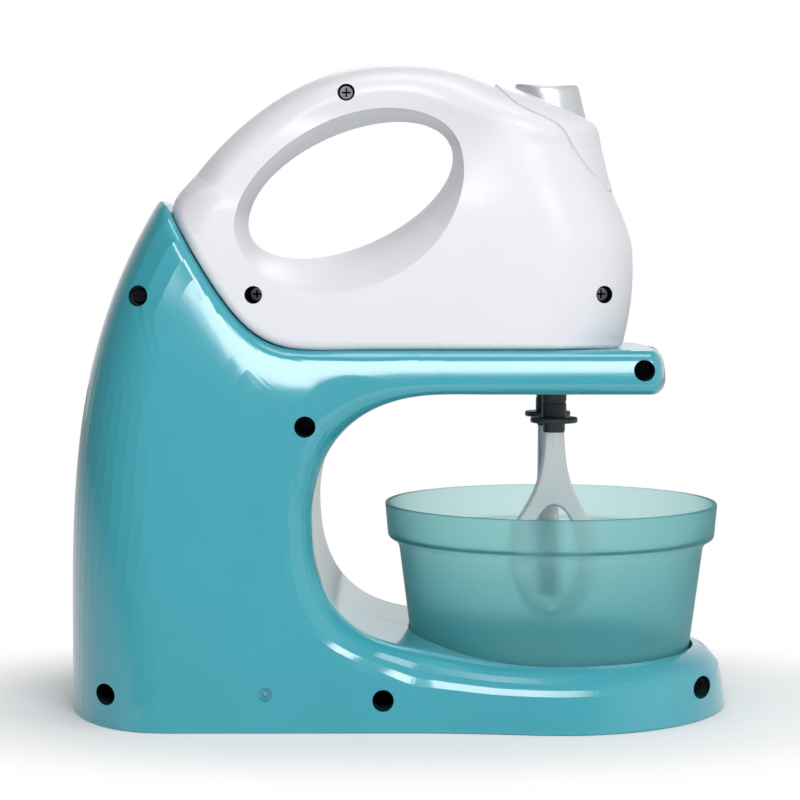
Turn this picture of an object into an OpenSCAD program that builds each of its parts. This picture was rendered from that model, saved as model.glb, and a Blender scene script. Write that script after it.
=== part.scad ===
// Toy hand mixer docked on its own stand, with the bowl under its beaters.
// Millimetres, +Z up, +X towards the nose. The origin lies on the base plane, in the middle of the
// overall length and in the parting plane of the housings.

/* [Stand] */
// Overall length of the stand, rear to front of the base
stand_l = 246.6; // [238:0.2:262]
// Half width of the stand at the table, behind the bowl
stand_hw = 62; // [58:0.5:66]
// Radius of the round base under the bowl, at the table
base_r = 66.3; // [64:0.1:70]
// Height of the base plate's top
base_top = 22.5; // [20:0.5:28]
// Rounding of the base plate's upper rim
base_rim_r = 11.5; // [8:0.5:13]
// Clear height between base plate and arm
opening_h = 96; // [90:0.5:108]
// Depth of the C opening behind the bowl axis
opening_depth = 88.7; // [82:0.1:94]
// Thickness of the arm
arm_t = 16; // [14:0.5:20]
// Reach of the arm in front of the bowl axis
arm_reach = 41.4; // [38:0.2:48]
// Rounding of the arm's edges
arm_edge_r = 4; // [2.5:0.25:5]
// Depth of the rounding of the arm's front, seen from above
arm_nose = 9; // [7:0.5:14]
// Height of the cradle's tip above the arm
tip_rise = 54.1; // [48:0.2:62]
// Rounding of the cradle's tip, seen from the side
tip_round = 2.8; // [2:0.1:3.4]
// How far the back leans in at the tip
back_lean = 33; // [27:0.5:38]
// Depth of the half round back, seen from above at the table
back_depth = 40; // [32:0.5:46]
// Lean of the stand's sides, as inset per height
side_draft = 0.142; // [0.12:0.002:0.16]
// Wall of the stand's shells
stand_wall = 2.2; // [1.8:0.1:2.6]

/* [Bowl] */
// Radius of the bowl's rim
bowl_r = 62.6; // [60:0.2:64]
// Height of the bowl
bowl_h = 61.2; // [56:0.2:66]
// Height of the straight collar under the rim
collar_h = 13; // [10:0.5:18]
// Step from the collar in to the wall
collar_step = 4.1; // [3:0.1:6]
// Radius of the bowl's foot
foot_r = 51.6; // [49:0.2:53]
// Wall of the bowl
bowl_wall = 1.9; // [1.5:0.1:2.4]
// Depth of the bowl's seat in the base plate
seat_depth = 8; // [6:0.5:9]
// Gap between bowl and seat, all round
seat_gap = 1.2; // [0.8:0.1:2]

/* [Mixer housing] */
// Height of the mixer body above the arm
head_h = 105.4; // [100:0.2:112]
// Reach of the nose in front of the bowl axis
nose_reach = 30.3; // [28.5:0.1:34]
// Height of the foremost point of the nose above the arm
nose_rise = 29; // [24:0.5:34]
// Depth of the rounding of the nose, seen from above
nose_round = 32; // [28:0.5:38]
// Inset of the mixer's sides from the stand's sides
ledge = 3.2; // [2.6:0.1:4]
// Half width of the handle
handle_hw = 19; // [16:0.5:22]
// Long half axis of the handle opening
grip_a = 41.2; // [38:0.2:44]
// Short half axis of the handle opening
grip_b = 21.1; // [19:0.2:23]
// Rise of the handle opening towards the nose, in degrees
grip_tilt = 24.3; // [20:0.1:28]
// Place of the opening's centre, as share of the way from the rear end to the bowl axis
grip_share = 0.58; // [0.57:0.005:0.59]
// Height of the opening's centre above the arm
grip_z = 58.4; // [56:0.2:61]
// Reach of the flat sole with the battery bay, behind the bowl axis
bay_reach = 90; // [89:0.2:94]
// Rounding of the mixer's bottom edge
head_edge_r = 3.5; // [2:0.25:5]
// Wall of the mixer's housings
head_wall = 2.2; // [1.8:0.1:2.6]
// Gap between mixer and cradle
cradle_gap = 0.4; // [0.3:0.05:0.8]

/* [Button] */
// Radius of the button at its foot
button_r = 13.8; // [12.6:0.1:14.2]
// Height of the button's top above the arm
button_rise = 98; // [96:0.2:101]
// Stroke of the button
button_travel = 3; // [2:0.1:4]
// Share of the foot's size left at the button's top
button_taper = 0.845; // [0.78:0.005:0.9]
// Running gap round the button
button_gap = 0.25; // [0.2:0.05:0.4]
// Height of the cowl plate above the housing
cowl_t = 1.05; // [0.9:0.05:1.3]

/* [Drive] */
// Module of the worm gears
gear_m = 1; // [0.96:0.01:1.04]
// Teeth of each worm wheel
wheel_teeth = 26; // [24:2:26]
// Height of the worm above the arm
worm_rise = 30.5; // [30:0.25:32]
// Thickness of the worm wheels
wheel_t = 5; // [4:0.25:6]
// Length of the worm's thread
worm_l = 14; // [12:0.5:16]
// Radius of the drive sockets
socket_r = 6; // [5.8:0.05:6.4]
// Radius of the beater stems
stem_r = 4.6; // [4.2:0.05:4.8]
// Length of the motor's can
motor_l = 22; // [20:0.5:24]
// Radius of the motor's can
motor_r = 10.2; // [9.5:0.1:11]
// Half height of the motor's can between its flats
motor_flat = 7.6; // [7:0.1:8.5]
// Running gap of shafts in their bores
fit = 0.05; // [0.03:0.01:0.08]

/* [Beaters] */
// Distance of the beater's flange, at mid thickness, below the arm's top
flange_drop = 26.7; // [25:0.1:30]
// Radius of the flange
flange_r = 8.75; // [8:0.05:9.5]
// Thickness of the whisk's strip
whisk_t = 4.4; // [3.5:0.1:5]
// Gap between the two whisks' circles
whisk_gap = 0.8; // [0.6:0.1:2]
// Gap between whisk and bowl floor
floor_gap = 19; // [18:0.5:24]
// Stroke of a beater out of its socket
beater_travel = 10; // [8:0.5:12]

/* [Batteries] */
// Diameter of one cell
cell_d = 14.2; // [13.5:0.1:14.5]
// Length of one cell
cell_l = 50; // [49:0.1:50.5]
// Thickness of the battery door
door_t = 1.9; // [1.6:0.1:2.1]

/* [Screws] */
// Shank radius of the housing screws
screw_r = 1.45; // [1.3:0.05:1.6]
// Head radius of the housing screws
screw_head_r = 2.9; // [2.6:0.1:3.1]
// Radius of the stand's screw wells
stand_well_r = 3.8; // [3.5:0.1:4.1]
// Radius of the mixer's screw wells
head_well_r = 3.2; // [3.15:0.05:3.5]
// Wall of the screw bosses
boss_wall = 1.4; // [1.1:0.1:1.8]

/* [Hidden] */
$fn = 48;

teal = "#4AA3B3";
white_abs = "#EDEEF2";
black = "#2A2F33";
silver = "#AEB4B8";
steel = "#9A9DA1";
brass = "#B9975B";
cell_green = "#4E7F46";
red = "#B03A36";
eps = 0.01;

// ---- Levels and stations that the pieces share ----
rear_x = -stand_l / 2;
bowl_x = stand_l / 2 - base_r;
open_x = bowl_x - opening_depth;
arm_low = base_top + opening_h;
arm_top = arm_low + arm_t;
tip_z = arm_top + tip_rise;
tip_x = rear_x + back_lean + 3;
// Where the cradle's curve runs out into the arm's flat top, behind the battery bay
sole_x = bowl_x - bay_reach;
seat_floor = base_top - seat_depth;
seat_r = foot_r + seat_gap + 1.1;
head_top = arm_top + head_h;
nose_x = bowl_x + nose_reach;
nose_z = arm_top + nose_rise;
grip_c = [mix(rear_x, bowl_x, grip_share), arm_top + grip_z];
worm_z = arm_top + worm_rise;
wheel_r = gear_m * wheel_teeth / 2;
worm_r = 4 * gear_m;
beater_y = wheel_r + worm_r;
whisk_r = beater_y - whisk_gap / 2;
flange_z = arm_top - flange_drop;
whisk_low = seat_floor + bowl_wall + floor_gap;
slot_x = whisk_r + 2;
slot_y = beater_y + whisk_r + 2;
button_x = bowl_x;

// ---- Small curves and vectors ----
function mix(a, b, t) = a + (b - a) * t;
function clamp(v, lo = 0, hi = 1) = min(hi, max(lo, v));
function smooth(t) = let (c = clamp(t)) c * c * (3 - 2 * c);
function bez(p, t) =
    pow(1 - t, 3) * p[0] + 3 * pow(1 - t, 2) * t * p[1] + 3 * (1 - t) * t * t * p[2] + pow(t, 3) * p[3];
function bez_slope(p, t) =
    3 * pow(1 - t, 2) * (p[1] - p[0]) + 6 * (1 - t) * t * (p[2] - p[1]) + 3 * t * t * (p[3] - p[2]);
// A point of the curve moved off to its left by gap
function bez_off(p, t, gap) =
    let (d = bez_slope(p, clamp(t, 0.002, 0.998)), n = norm(d)) bez(p, t) + gap * [-d[1], d[0]] / n;
// Inset of a quarter round of radius r, at depth d below its edge
function round_in(r, d) = d >= r || r <= 0 ? 0 : r - sqrt(max(0, r * r - pow(r - d, 2)));
// Height of a quarter ellipse, 0 at its edge and 1 from its full depth on
function dome(u) = let (c = 1 - clamp(u)) sqrt(max(0, 1 - c * c));

// ---- Ribbon surfaces: rows of pairs, each pair an inner and an outer outline point ----
// Depths at which a row is sampled: a quarter round in n steps at either end and m points between
function row_depths(l, ra, rb, n, m) =
    let (b = min(rb, 0.94 * (l - ra)))
    concat([for (k = [0 : n]) ra * (1 - cos(90 * k / n))],
        [for (k = [1 : m]) mix(ra, l - b, k / (m + 1))],
        [for (k = [n : -1 : 0]) l - b * (1 - cos(90 * k / n))]);
// Extra thickness of the walls at the stand's horn and at the mixer's lower nose
thick_extra = 1.4;
// Steps of the rounded ends and points between them, on the outer and the inner skins
n_out = 4;
m_out = 2;
n_in = 2;
m_in = 2;
function quad(a, b, c, d) = [[a, b, c], [a, c, d]];
// Turning sense of three points in side view
function turn(p, q, r) = (q[0] - p[0]) * (r[2] - p[2]) - (q[2] - p[2]) * (r[0] - p[0]);
// Faces of a grid with n_row rows of n_col points, from index first on. Each four corners are split
// along the diagonal that keeps both triangles turned the same way in side view
function grid_faces(points, first, n_row, n_col, loop, flip) = [
    for (i = [0 : n_row - (loop ? 1 : 2)]) for (j = [0 : n_col - 2])
        let (a = first + i * n_col + j, b = first + ((i + 1) % n_row) * n_col + j,
             p = points[a], q = points[b], r = points[b + 1], s = points[a + 1],
             level = turn(p, q, r) * turn(p, r, s) >= 0)
            each flip ? (level ? quad(a, a + 1, b + 1, b) : quad(a + 1, b + 1, b, a)) :
                (level ? quad(a, b, b + 1, a + 1) : quad(b, b + 1, a + 1, a))];
// Faces that close the parting plane between an outer and an inner grid
function rim_faces(n_row, out_col, in_first, in_col, loop) = [
    for (i = [0 : n_row - (loop ? 1 : 2)])
        let (k = (i + 1) % n_row, a = i * out_col, b = k * out_col,
             c = in_first + i * in_col, d = in_first + k * in_col)
            each concat(quad(a, c, d, b),
                quad(a + out_col - 1, b + out_col - 1, d + in_col - 1, c + in_col - 1))];
// A flat end of a grid's row, with the parting plane's edge shared with the inner grid's end
function end_faces(first, n_col, flip) = [
    for (j = [1 : n_col - 2])
        flip ? [first, first + j + 1, first + j] : [first, first + j, first + j + 1]];

// ---- Stand: outlines ----
cradle = [[sole_x, arm_top], [sole_x - 21.3, arm_top],
          [mix(tip_x, sole_x - 21.3, 0.77), arm_top + 0.2 * tip_rise], [tip_x + 2.2, tip_z - 2.4]];
open_low = base_top + 0.53 * opening_h;
open_up_curve = [[open_x + 46.5, arm_low], [open_x + 17, arm_low - 0.5],
                 [open_x, open_low + 27], [open_x, open_low]];
open_down_curve = [[open_x, open_low], [open_x, base_top + 6],
                   [open_x + 32, base_top + 6.6], [open_x + 43.5, base_top + 4.2]];
plate_start = open_x + 43.5;
plate_flat = bowl_x - 12;
back_z0 = 0.208 * arm_top;
function back_x(z) = rear_x + back_lean * pow(clamp((z - back_z0) / (tip_z - back_z0)), 3);
function plate_z(x) = base_top + 4.2 * pow(1 - clamp((x - plate_start) / (plate_flat - plate_start)), 1.6);

arm_angles = [78, 60, 42, 22, 0];
// Stations of the opening's upper curve where the arm's turn and the cradle end
turn_end = 0.46;
horn_end = 0.86;
arm_steps = 4;
turn_steps = 5;
cradle_steps = 8;
back_steps = 10;
foot_steps = 3;
floor_steps = 5;
plate_steps = 3;
tip_angles = [25, 70, 115, 150];
disc_angles = [-20, -6, 8, 21, 33, 43];
rim_angles = [0, 22, 42, 60, 76, 90];
rim_drops = [0.5, 0.88];

// Rows from the arm's front to the rear of the arm: [inner, outer]
function arm_rows(off) =
    let (front = bowl_x + arm_reach - off, nose = arm_nose - off, corner = 5 - off)
    concat(
        [for (a = arm_angles)
            let (x = front - nose * (1 - sin(a)), c = round_in(corner, front - x))
            [[x, arm_low + off + c], [x, arm_top - off - c]]],
        [for (k = [1 : arm_steps])
            let (x = mix(front - nose, open_up_curve[0][0], k / arm_steps))
            [[x, arm_low + off], [x, arm_top - off]]]);
function turn_rows(off) = [
    for (k = [1 : turn_steps]) let (t = k / turn_steps)
        [bez_off(open_up_curve, turn_end * t, -off),
         [mix(open_up_curve[0][0], cradle[0][0], t), arm_top - off]]];
function cradle_rows(off) = [
    for (k = [1 : cradle_steps]) let (t = k / cradle_steps)
        [bez_off(open_up_curve, mix(turn_end, horn_end, pow(t, 0.8)), -off),
         bez_off(cradle, t * (1 - 0.05 * off), off)]];
function tip_rows(off) =
    let (r = max(0.5, tip_round - off), n = len(tip_angles),
         c = [tip_x - 0.7 + 1.6 * off, tip_z - tip_round - (off > 0 ? 4.2 * off + 1.5 : 0)])
    [for (k = [0 : n - 1])
        [bez_off(open_up_curve, horn_end + 0.02 * (k + 1) / (n + 1), -off),
         c + r * [cos(tip_angles[k]), sin(tip_angles[k])]]];
function back_rows(off) = [
    for (k = [0 : back_steps])
        let (t = k / back_steps, z = mix(tip_z - 2.6 - 4.4 * off, back_z0, pow(t, 0.85)))
        [bez_off(open_up_curve, mix(horn_end + 0.02, 1, t), -off), [back_x(z) + off * 1.12, z]]];
function foot_rows(off) = [
    for (k = [1 : foot_steps]) let (t = k / foot_steps)
        [bez_off(open_down_curve, 0.32 * t, -off), [rear_x + off, mix(back_z0, off, t)]]];
function floor_rows(off) = [
    for (k = [1 : floor_steps]) let (t = k / floor_steps)
        [bez_off(open_down_curve, 0.32 + 0.68 * t, -off),
         [mix(rear_x + off, plate_start, pow(t, 1.1)), off]]];
function plate_rows(off) = [
    for (k = [1 : plate_steps])
        let (x = mix(plate_start, bowl_x + base_r * sin(disc_angles[0]), k / (plate_steps + 1)))
        [[x, plate_z(x) - off], [x, off]]];
function rim_inset(z, off) =
    side_draft * z + off + round_in(base_rim_r - off, base_top - off - z);
function disc_rows(off) =
    let (r = base_rim_r - off, top = base_top - off)
    concat(
        [for (a = disc_angles) let (x = bowl_x + base_r * sin(a)) [[x, plate_z(x) - off], [x, off]]],
        [for (a = rim_angles)
            let (z = top - r * (1 - cos(a)), x = bowl_x + base_r - rim_inset(z, off))
            [[x, z], [x, off]]],
        [for (t = rim_drops)
            let (z = mix(top - r, off, t), x = bowl_x + base_r - rim_inset(z, off))
            [[x, z], [x, off]]]);
function stand_rows(off) = concat(arm_rows(off), turn_rows(off), cradle_rows(off), tip_rows(off),
    back_rows(off), foot_rows(off), floor_rows(off), plate_rows(off), disc_rows(off));
n_arm = len(arm_angles) + arm_steps;
n_tip = n_arm + turn_steps + cradle_steps;
n_back = n_tip + len(tip_angles);
n_foot = n_back + back_steps + 1;
n_floor = n_foot + foot_steps;
n_plate = n_floor + floor_steps;
n_stand = len(stand_rows(0));

// Half width of the base in plan, inset by gap: straight sides that run over into the round base
join_a = bowl_x - 52;
join_b = bowl_x - 8;
function disc_y(x, gap) = sqrt(max(0, pow(base_r - gap, 2) - pow(x - bowl_x, 2)));
function plan_y(x, gap) =
    x <= join_a ? stand_hw - gap :
    x >= join_b ? disc_y(x, gap) :
    let (w = join_b - join_a, t = (x - join_a) / w, y1 = disc_y(join_b, gap),
         s1 = (bowl_x - join_b) / y1 * w)
    (2 * pow(t, 3) - 3 * t * t + 1) * (stand_hw - gap) + (3 * t * t - 2 * pow(t, 3)) * y1
        + (pow(t, 3) - t * t) * s1;
function back_factor(x, z, gap) =
    let (depth = back_depth * (1 - 0.0022 * z) - gap)
    dome((x - back_x(z) - gap + 0.15) / depth);
function arm_front_factor(x, gap) =
    let (u = clamp((x - (bowl_x + arm_reach - arm_nose)) / (arm_nose - gap), 0, 0.9999))
    pow(1 - pow(u, 2.6), 1 / 2.6);
function stand_y(x, z, gap, on_arm) =
    let (inset = gap + side_draft * z)
    (on_arm ? (stand_hw - inset) * arm_front_factor(x, gap) : plan_y(x, inset)) * back_factor(x, z, gap);

// Section of one row: points [x, y, z] from the inner outline over the side to the outer one
function stand_edge_a(i, l) =
    let (r = i < n_arm ? arm_edge_r : i < n_back ? mix(arm_edge_r, 10, clamp((i - n_arm) / 6)) :
        i < n_plate ? mix(10, base_rim_r, (i - n_back) / (n_plate - n_back)) : base_rim_r)
    min(r, 0.42 * l);
function stand_edge_b(i, l) =
    min(i < n_tip ? arm_edge_r : i <= n_back ? 1.6 : i < n_foot + 1 ? 0 : 1.2, 0.45 * l);
function stand_section(i, row, off, n, m) =
    let (a = row[0], b = row[1], l = norm(b - a), dir = (b - a) / l,
         ra = max(0.4, stand_edge_a(i, l) - off), rb = max(0, stand_edge_b(i, l) - off),
         back = i > n_back && i < n_floor,
         sample_b = i <= n_back ? max(0.8, rb) :
             back ? min(0.62 * l, (back_depth - off) * (i < n_foot ? clamp((i - n_back) / 3, 0.25, 1) : 1)) :
             i < n_plate ? max(0.6, rb) : max(0.4, min(rb, 0.3 * l)),
         drop = i >= n_plate + plate_steps ? max(0, base_top - off - a[1]) : 0,
         front = drop > 0,
         sample_a = front ? min(0.5 * l, 6) : min(ra, 0.5 * l))
    concat([[a[0], 0, a[1]]],
        [for (d0 = row_depths(l, sample_a, sample_b, n, m))
            let (d = front ? max(d0, 0.03 * l) : d0, p = a + d * dir,
                 in_disc = i >= n_plate + plate_steps,
                 in_horn = i > n_arm + turn_steps && i < n_back + 4,
                 gap = off + (in_disc ? round_in(base_rim_r - off, d + drop) : round_in(ra, d))
                     + round_in(rb, l - d) + (off > 0 && in_horn ? thick_extra : 0))
            [p[0], -max(0.02, stand_y(p[0], p[1], gap, i < n_tip)), p[1]]],
        [[b[0], 0, b[1]]]);
module stand_skin() {
    outer = stand_rows(0);
    inner = stand_rows(stand_wall);
    out_col = 2 * n_out + m_out + 4;
    in_col = 2 * n_in + m_in + 4;
    in_first = n_stand * out_col;
    last_out = (n_stand - 1) * out_col;
    last_in = in_first + (n_stand - 1) * in_col;
    points = concat(
        [for (i = [0 : n_stand - 1]) each stand_section(i, outer[i], 0, n_out, m_out)],
        [for (i = [0 : n_stand - 1]) each stand_section(i, inner[i], stand_wall, n_in, m_in)]);
    faces = concat(
        grid_faces(points, 0, n_stand, out_col, false, false),
        grid_faces(points, in_first, n_stand, in_col, false, true),
        rim_faces(n_stand, out_col, in_first, in_col, false),
        end_faces(0, out_col, false), end_faces(last_out, out_col, true),
        end_faces(in_first, in_col, true), end_faces(last_in, in_col, false),
        quad(0, out_col - 1, in_first + in_col - 1, in_first),
        quad(last_out, last_in, last_in + in_col - 1, last_out + out_col - 1));
    polyhedron(points = points, faces = faces, convexity = 8);
}

// ---- Mixer housing: outlines round the handle opening ----
shoulder = [nose_x - 19.5, arm_top + 83.9];
top_front = [shoulder, shoulder + [-39.9, 18.5], [grip_c[0] + 38.6, head_top + 0.1],
             [grip_c[0] + 16.6, head_top + 0.1]];
top_rear = [[grip_c[0] + 16.6, head_top + 0.1], [grip_c[0] - 16.3, head_top + 0.1],
            [grip_c[0] - 45.8, head_top - 22.5], [tip_x + 4.6, tip_z + 0.9]];
front_low = nose_z - 26;
nose_top = arm_top + 73.6;
function nose_at(z) = nose_x - (z < nose_z ? 0.0048 : 0.0062) * pow(z - nose_z, 2);
function grip_point(a, off) =
    let (u = (grip_a + off) * cos(a), v = (grip_b + off) * sin(a))
    grip_c + [u * cos(grip_tilt) - v * sin(grip_tilt), u * sin(grip_tilt) + v * cos(grip_tilt)];

nose_steps = 9;
shoulder_steps = 2;
front_steps = 6;
rear_steps = 9;
seat_steps = 7;
sole_steps = 5;
toe_steps = 3;
toe_r = 4;
lip_power = 1.25;
lip_least = 2.4;
lip_below = 13.6;
lip_above = 2.5;
// Rows from the nose up over the handle, down the cradle and along the sole: [inner, outer]
function head_rows(off) = concat(
    [for (k = [0 : nose_steps]) let (t = k / nose_steps, z = mix(front_low, nose_top, t))
        [grip_point(mix(308, 350, t), off), [nose_at(z) - off, z]]],
    [for (k = [1 : shoulder_steps]) let (t = k / shoulder_steps,
            a = [nose_at(nose_top) - off, nose_top], c = bez_off(top_front, 0, off),
            m = a + [-0.35 * (a[0] - c[0]), 0.72 * (c[1] - a[1])])
        [grip_point(mix(350, 359, t), off), t < 1 ? m : c]],
    [for (k = [1 : front_steps]) let (t = k / front_steps)
        [grip_point(mix(359, 418, t), off), bez_off(top_front, t, off)]],
    [for (k = [1 : rear_steps]) let (t = k / rear_steps)
        [grip_point(mix(418, 520, t), off), bez_off(top_rear, t * (1 - 0.02 * off), off)]],
    [for (k = [0 : seat_steps]) let (t = k / seat_steps, s = (1 - t) * (0.985 - 0.02 * off))
        [grip_point(mix(526, 592, t), off),
         bez_off(cradle, s, -off - cradle_gap * clamp(4 * s))]],
    [for (k = [1 : sole_steps]) let (t = k / sole_steps)
        [grip_point(mix(592, 658, t), off),
         [mix(cradle[0][0], nose_at(front_low) - toe_r, t), arm_top + off]]],
    [for (k = [1 : toe_steps]) let (a = 90 * k / (toe_steps + 1), r = toe_r - off)
        [grip_point(658 + 10 * k / (toe_steps + 1), off),
         [nose_at(front_low) - toe_r + r * sin(a), arm_top + toe_r - r * cos(a)]]]);
n_head = len(head_rows(0));
h_top = nose_steps + shoulder_steps;
h_rear = h_top + front_steps;
h_seat = h_rear + rear_steps + 1;
h_sole = h_seat + seat_steps;

// Half width of the mixer, narrowing from the body to the handle and rounded at nose and rear
function handle_share(x, z) =
    smooth((z - arm_top - 50) / 38) * (1 - smooth((x - grip_c[0] - 22) / 40));
// The nose's foremost line, which bulges over the shoulder
function nose_line(z) = nose_at(max(z, front_low)) + 2.6 * smooth((z - nose_top) / 7);
function nose_factor(x, z, off) = dome((nose_line(z) - off + 0.15 - x) / (nose_round - off));
function head_y(x, z, off) =
    let (body = stand_hw - side_draft * z - ledge, rear = back_x(min(z, tip_z)) + 2)
    (mix(body, handle_hw, handle_share(x, z)) - off) * nose_factor(x, z, off)
        * dome((x - rear - off) / (0.62 * back_depth));
// Share of a soft bump about the angle mid, which fades out at 90 / rate degrees to either side
function bump(a, mid, rate) =
    let (d = rate * ((a - mid + 540) % 360 - 180)) abs(d) < 90 ? pow(cos(d), 2) : 0;
// Depth of the opening's wall in side view, at the opening's point p: deepest below, towards the body
function lip_depth(p, off) =
    let (q = p - grip_c, u = q * [cos(grip_tilt), sin(grip_tilt)], v = q * [-sin(grip_tilt), cos(grip_tilt)],
         a = atan2(v / (grip_b + off), u / (grip_a + off)))
    lip_least + lip_below * bump(a, 260, 0.9) + lip_above * bump(a, 80, 1.2);
// Rounding of the outline: share of the half width lost at its edge, and its depth
function edge_share(i) =
    i < h_top - 1 ? 0 : i < h_top + 2 ? mix(0, 0.97, (i - h_top + 2) / 4) :
    i < h_seat - 1 ? 0.97 : i < h_seat + 1 ? 0.3 : 0.09;
function edge_depth(i) =
    i < h_top - 1 ? 2 : i <= h_rear ? mix(22, 12.2, smooth((i - h_top) / front_steps)) :
    i < h_seat - 1 ? 12.2 : i < h_seat + 1 ? 5 : head_edge_r;
// Share of the half width on the opening's wall, from the parting plane out to its crisp outer edge
function lip_share(u) = 0.03 + 0.97 * pow(1 - pow(1 - clamp(u), lip_power), 1 / lip_power);
function head_section(i, row, off, n, m) =
    let (a = row[0], b = row[1], l = norm(b - a), dir = (b - a) / l,
         in_nose = i < h_top - 1,
         da = max(1, min(lip_depth(a, off), 0.45 * l + off) - off),
         db = max(0.8, edge_depth(i) - off),
         sole_t = clamp((i - h_sole) / (n_head - h_sole)),
         in_front = min(nose_round - off, 0.5 * l),
         sample_b = in_nose ? in_front : max(db, min((nose_round - off) * smooth(sole_t), 0.5 * l)),
         share = i >= h_sole ? head_edge_r / (stand_hw - side_draft * arm_top) : edge_share(i))
    concat([[a[0], 0, a[1]]],
        [for (d = row_depths(l, da, sample_b, n, m))
            let (p = a + d * dir,
                 y = head_y(p[0], p[1], off + (off > 0 && (i < 4 || i >= h_sole) ? thick_extra : 0))
                     * lip_share(d / da)
                     * (in_nose ? 1 : 1 - share * (1 - dome((l - d) / db))))
            [p[0], -max(0.3, y), p[1]]],
        [[b[0], 0, b[1]]]);
module head_skin() {
    outer = head_rows(0);
    inner = head_rows(head_wall);
    out_col = 2 * n_out + m_out + 4;
    in_col = 2 * n_in + m_in + 4;
    in_first = n_head * out_col;
    points = concat(
        [for (i = [0 : n_head - 1]) each head_section(i, outer[i], 0, n_out, m_out)],
        [for (i = [0 : n_head - 1]) each head_section(i, inner[i], head_wall, n_in, m_in)]);
    faces = concat(
        grid_faces(points, 0, n_head, out_col, true, false),
        grid_faces(points, in_first, n_head, in_col, true, true),
        rim_faces(n_head, out_col, in_first, in_col, true));
    polyhedron(points = points, faces = faces, convexity = 10);
}

// ---- Shell halves: bosses, wells and pilots for the screws ----
stand_screw_at = [
    [rear_x + 28.6, arm_top + 19.4], [open_x - 2.3, arm_low - 11.2], [rear_x + 17.9, 11.8],
    [bowl_x - 63, 11.4], [bowl_x + 53, 11.5], [bowl_x + 30.5, arm_low + 0.55 * arm_t]];
head_screw_at = [
    [grip_c[0] - 1, (grip_c[1] + 21.6 + head_top) / 2 + 1], [grip_c[0] - 34.1, arm_top + 19.8],
    [nose_x - 13, arm_top + 19.8]];
// Depth of the screw heads' seats in the right half, and length of thread in the left half
stand_seat = 26;
head_seat = 14;
screw_grip = 9;
screw_head_h = 2;
cross_l = 3.2;
cross_w = 0.7;
cross_h = 1.1;

// Outer half width at a screw and its slopes along X and Z
function wall_at(stand, x, z) =
    stand ? stand_y(x, z, 0, z > arm_low && x > open_x) : head_y(x, z, 0);
function wall_slope(stand, x, z) =
    [wall_at(stand, x + 1, z) - wall_at(stand, x - 1, z),
     wall_at(stand, x, z + 1) - wall_at(stand, x, z - 1)] / 2;
// Solid boss from the parting plane into the wall, trimmed along the wall
module wall_boss(stand, at, r, wall) {
    y0 = wall_at(stand, at[0], at[1]);
    s = wall_slope(stand, at[0], at[1]);
    n = norm([s[0], 1, s[1]]);
    big = 120;
    intersection() {
        translate([at[0], 0, at[1]]) rotate([90, 0, 0]) cylinder(r = r, h = y0 + 12);
        translate([at[0], -(y0 - 0.5 * wall * n), at[1]])
            rotate([asin(s[1] / n), 0, atan2(-s[0], 1)])
                translate([-big / 2, 0, -big / 2]) cube(big);
    }
}
module bore_y(at, r, y_from, y_to) {
    translate([at[0], y_to, at[1]]) rotate([90, 0, 0]) cylinder(r = r, h = y_to - y_from);
}
// Cuts of the half that holds the screw heads
module well_cuts(list, stand, well_r, seat) {
    for (at = list) {
        bore_y(at, well_r, -wall_at(stand, at[0], at[1]) - 12, -seat);
        bore_y(at, screw_r + 3 * fit, -seat - 1, 1);
    }
}
// Cuts of the half that the screws bite into, drawn on the same side
module pilot_cuts(list) {
    for (at = list) bore_y(at, screw_r + 0.02, -screw_grip - 1, 1);
}
module screw_set(list, seat) {
    for (at = list) translate([at[0], -seat, at[1]]) rotate([-90, 0, 0]) {
        cylinder(r = screw_r, h = seat + screw_grip);
        difference() {
            translate([0, 0, -screw_head_h])
                cylinder(r1 = 0.8 * screw_head_r, r2 = screw_head_r, h = screw_head_h);
            for (turn = [0, 90]) rotate([0, 0, turn])
                translate([-cross_l / 2, -cross_w / 2, -screw_head_h - eps])
                    cube([cross_l, cross_w, cross_h]);
        }
    }
}

// ---- Stand ----
cup_wall = 2;
cup_r = seat_r + cup_wall;
plate_skin = 1.1;
// The plate's top line, lowered to lie inside the plate, closed down to the cup's floor
cup_line = concat(
    [[bowl_x - cup_r - 5, seat_floor - 5], [bowl_x - cup_r - 5, bez(open_down_curve, 0.8)[1] - plate_skin]],
    [for (t = [0.84, 0.92]) bez(open_down_curve, t) - [0, plate_skin]],
    [for (t = [0, 0.4, 0.7, 1]) let (x = mix(plate_start, plate_flat, t)) [x, plate_z(x) - plate_skin]],
    [[bowl_x + cup_r + 5, base_top - plate_skin], [bowl_x + cup_r + 5, seat_floor - 5]]);
module seat_cup() {
    translate([bowl_x, 0, 0]) rotate([0, 0, 180]) rotate_extrude(angle = 180, $fn = 96)
        translate([0, seat_floor - stand_wall]) square([cup_r, stand_wall]);
    intersection() {
        translate([bowl_x, 0, 0]) rotate([0, 0, 180]) rotate_extrude(angle = 180, $fn = 96)
            translate([seat_r - 0.5, seat_floor - stand_wall])
                square([cup_wall + 0.5, seat_depth + 12]);
        rotate([90, 0, 0]) linear_extrude(height = cup_r + 5) polygon(cup_line);
    }
}
slot_wall = 1.6;
module slot_outline(grow) {
    y_c = slot_y - slot_x;
    for (side = [-1, 1]) translate([0, side * y_c]) circle(r = slot_x + grow);
    square([2 * (slot_x + grow), 2 * y_c], center = true);
}
module half_plan(w) {
    translate([-w, -w]) square([2 * w, w]);
}
module arm_slot_wall() {
    translate([bowl_x, 0, arm_low + 0.5 * stand_wall]) linear_extrude(height = arm_t - stand_wall)
        intersection() {
            slot_outline(slot_wall);
            half_plan(2 * slot_y);
        }
}
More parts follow.
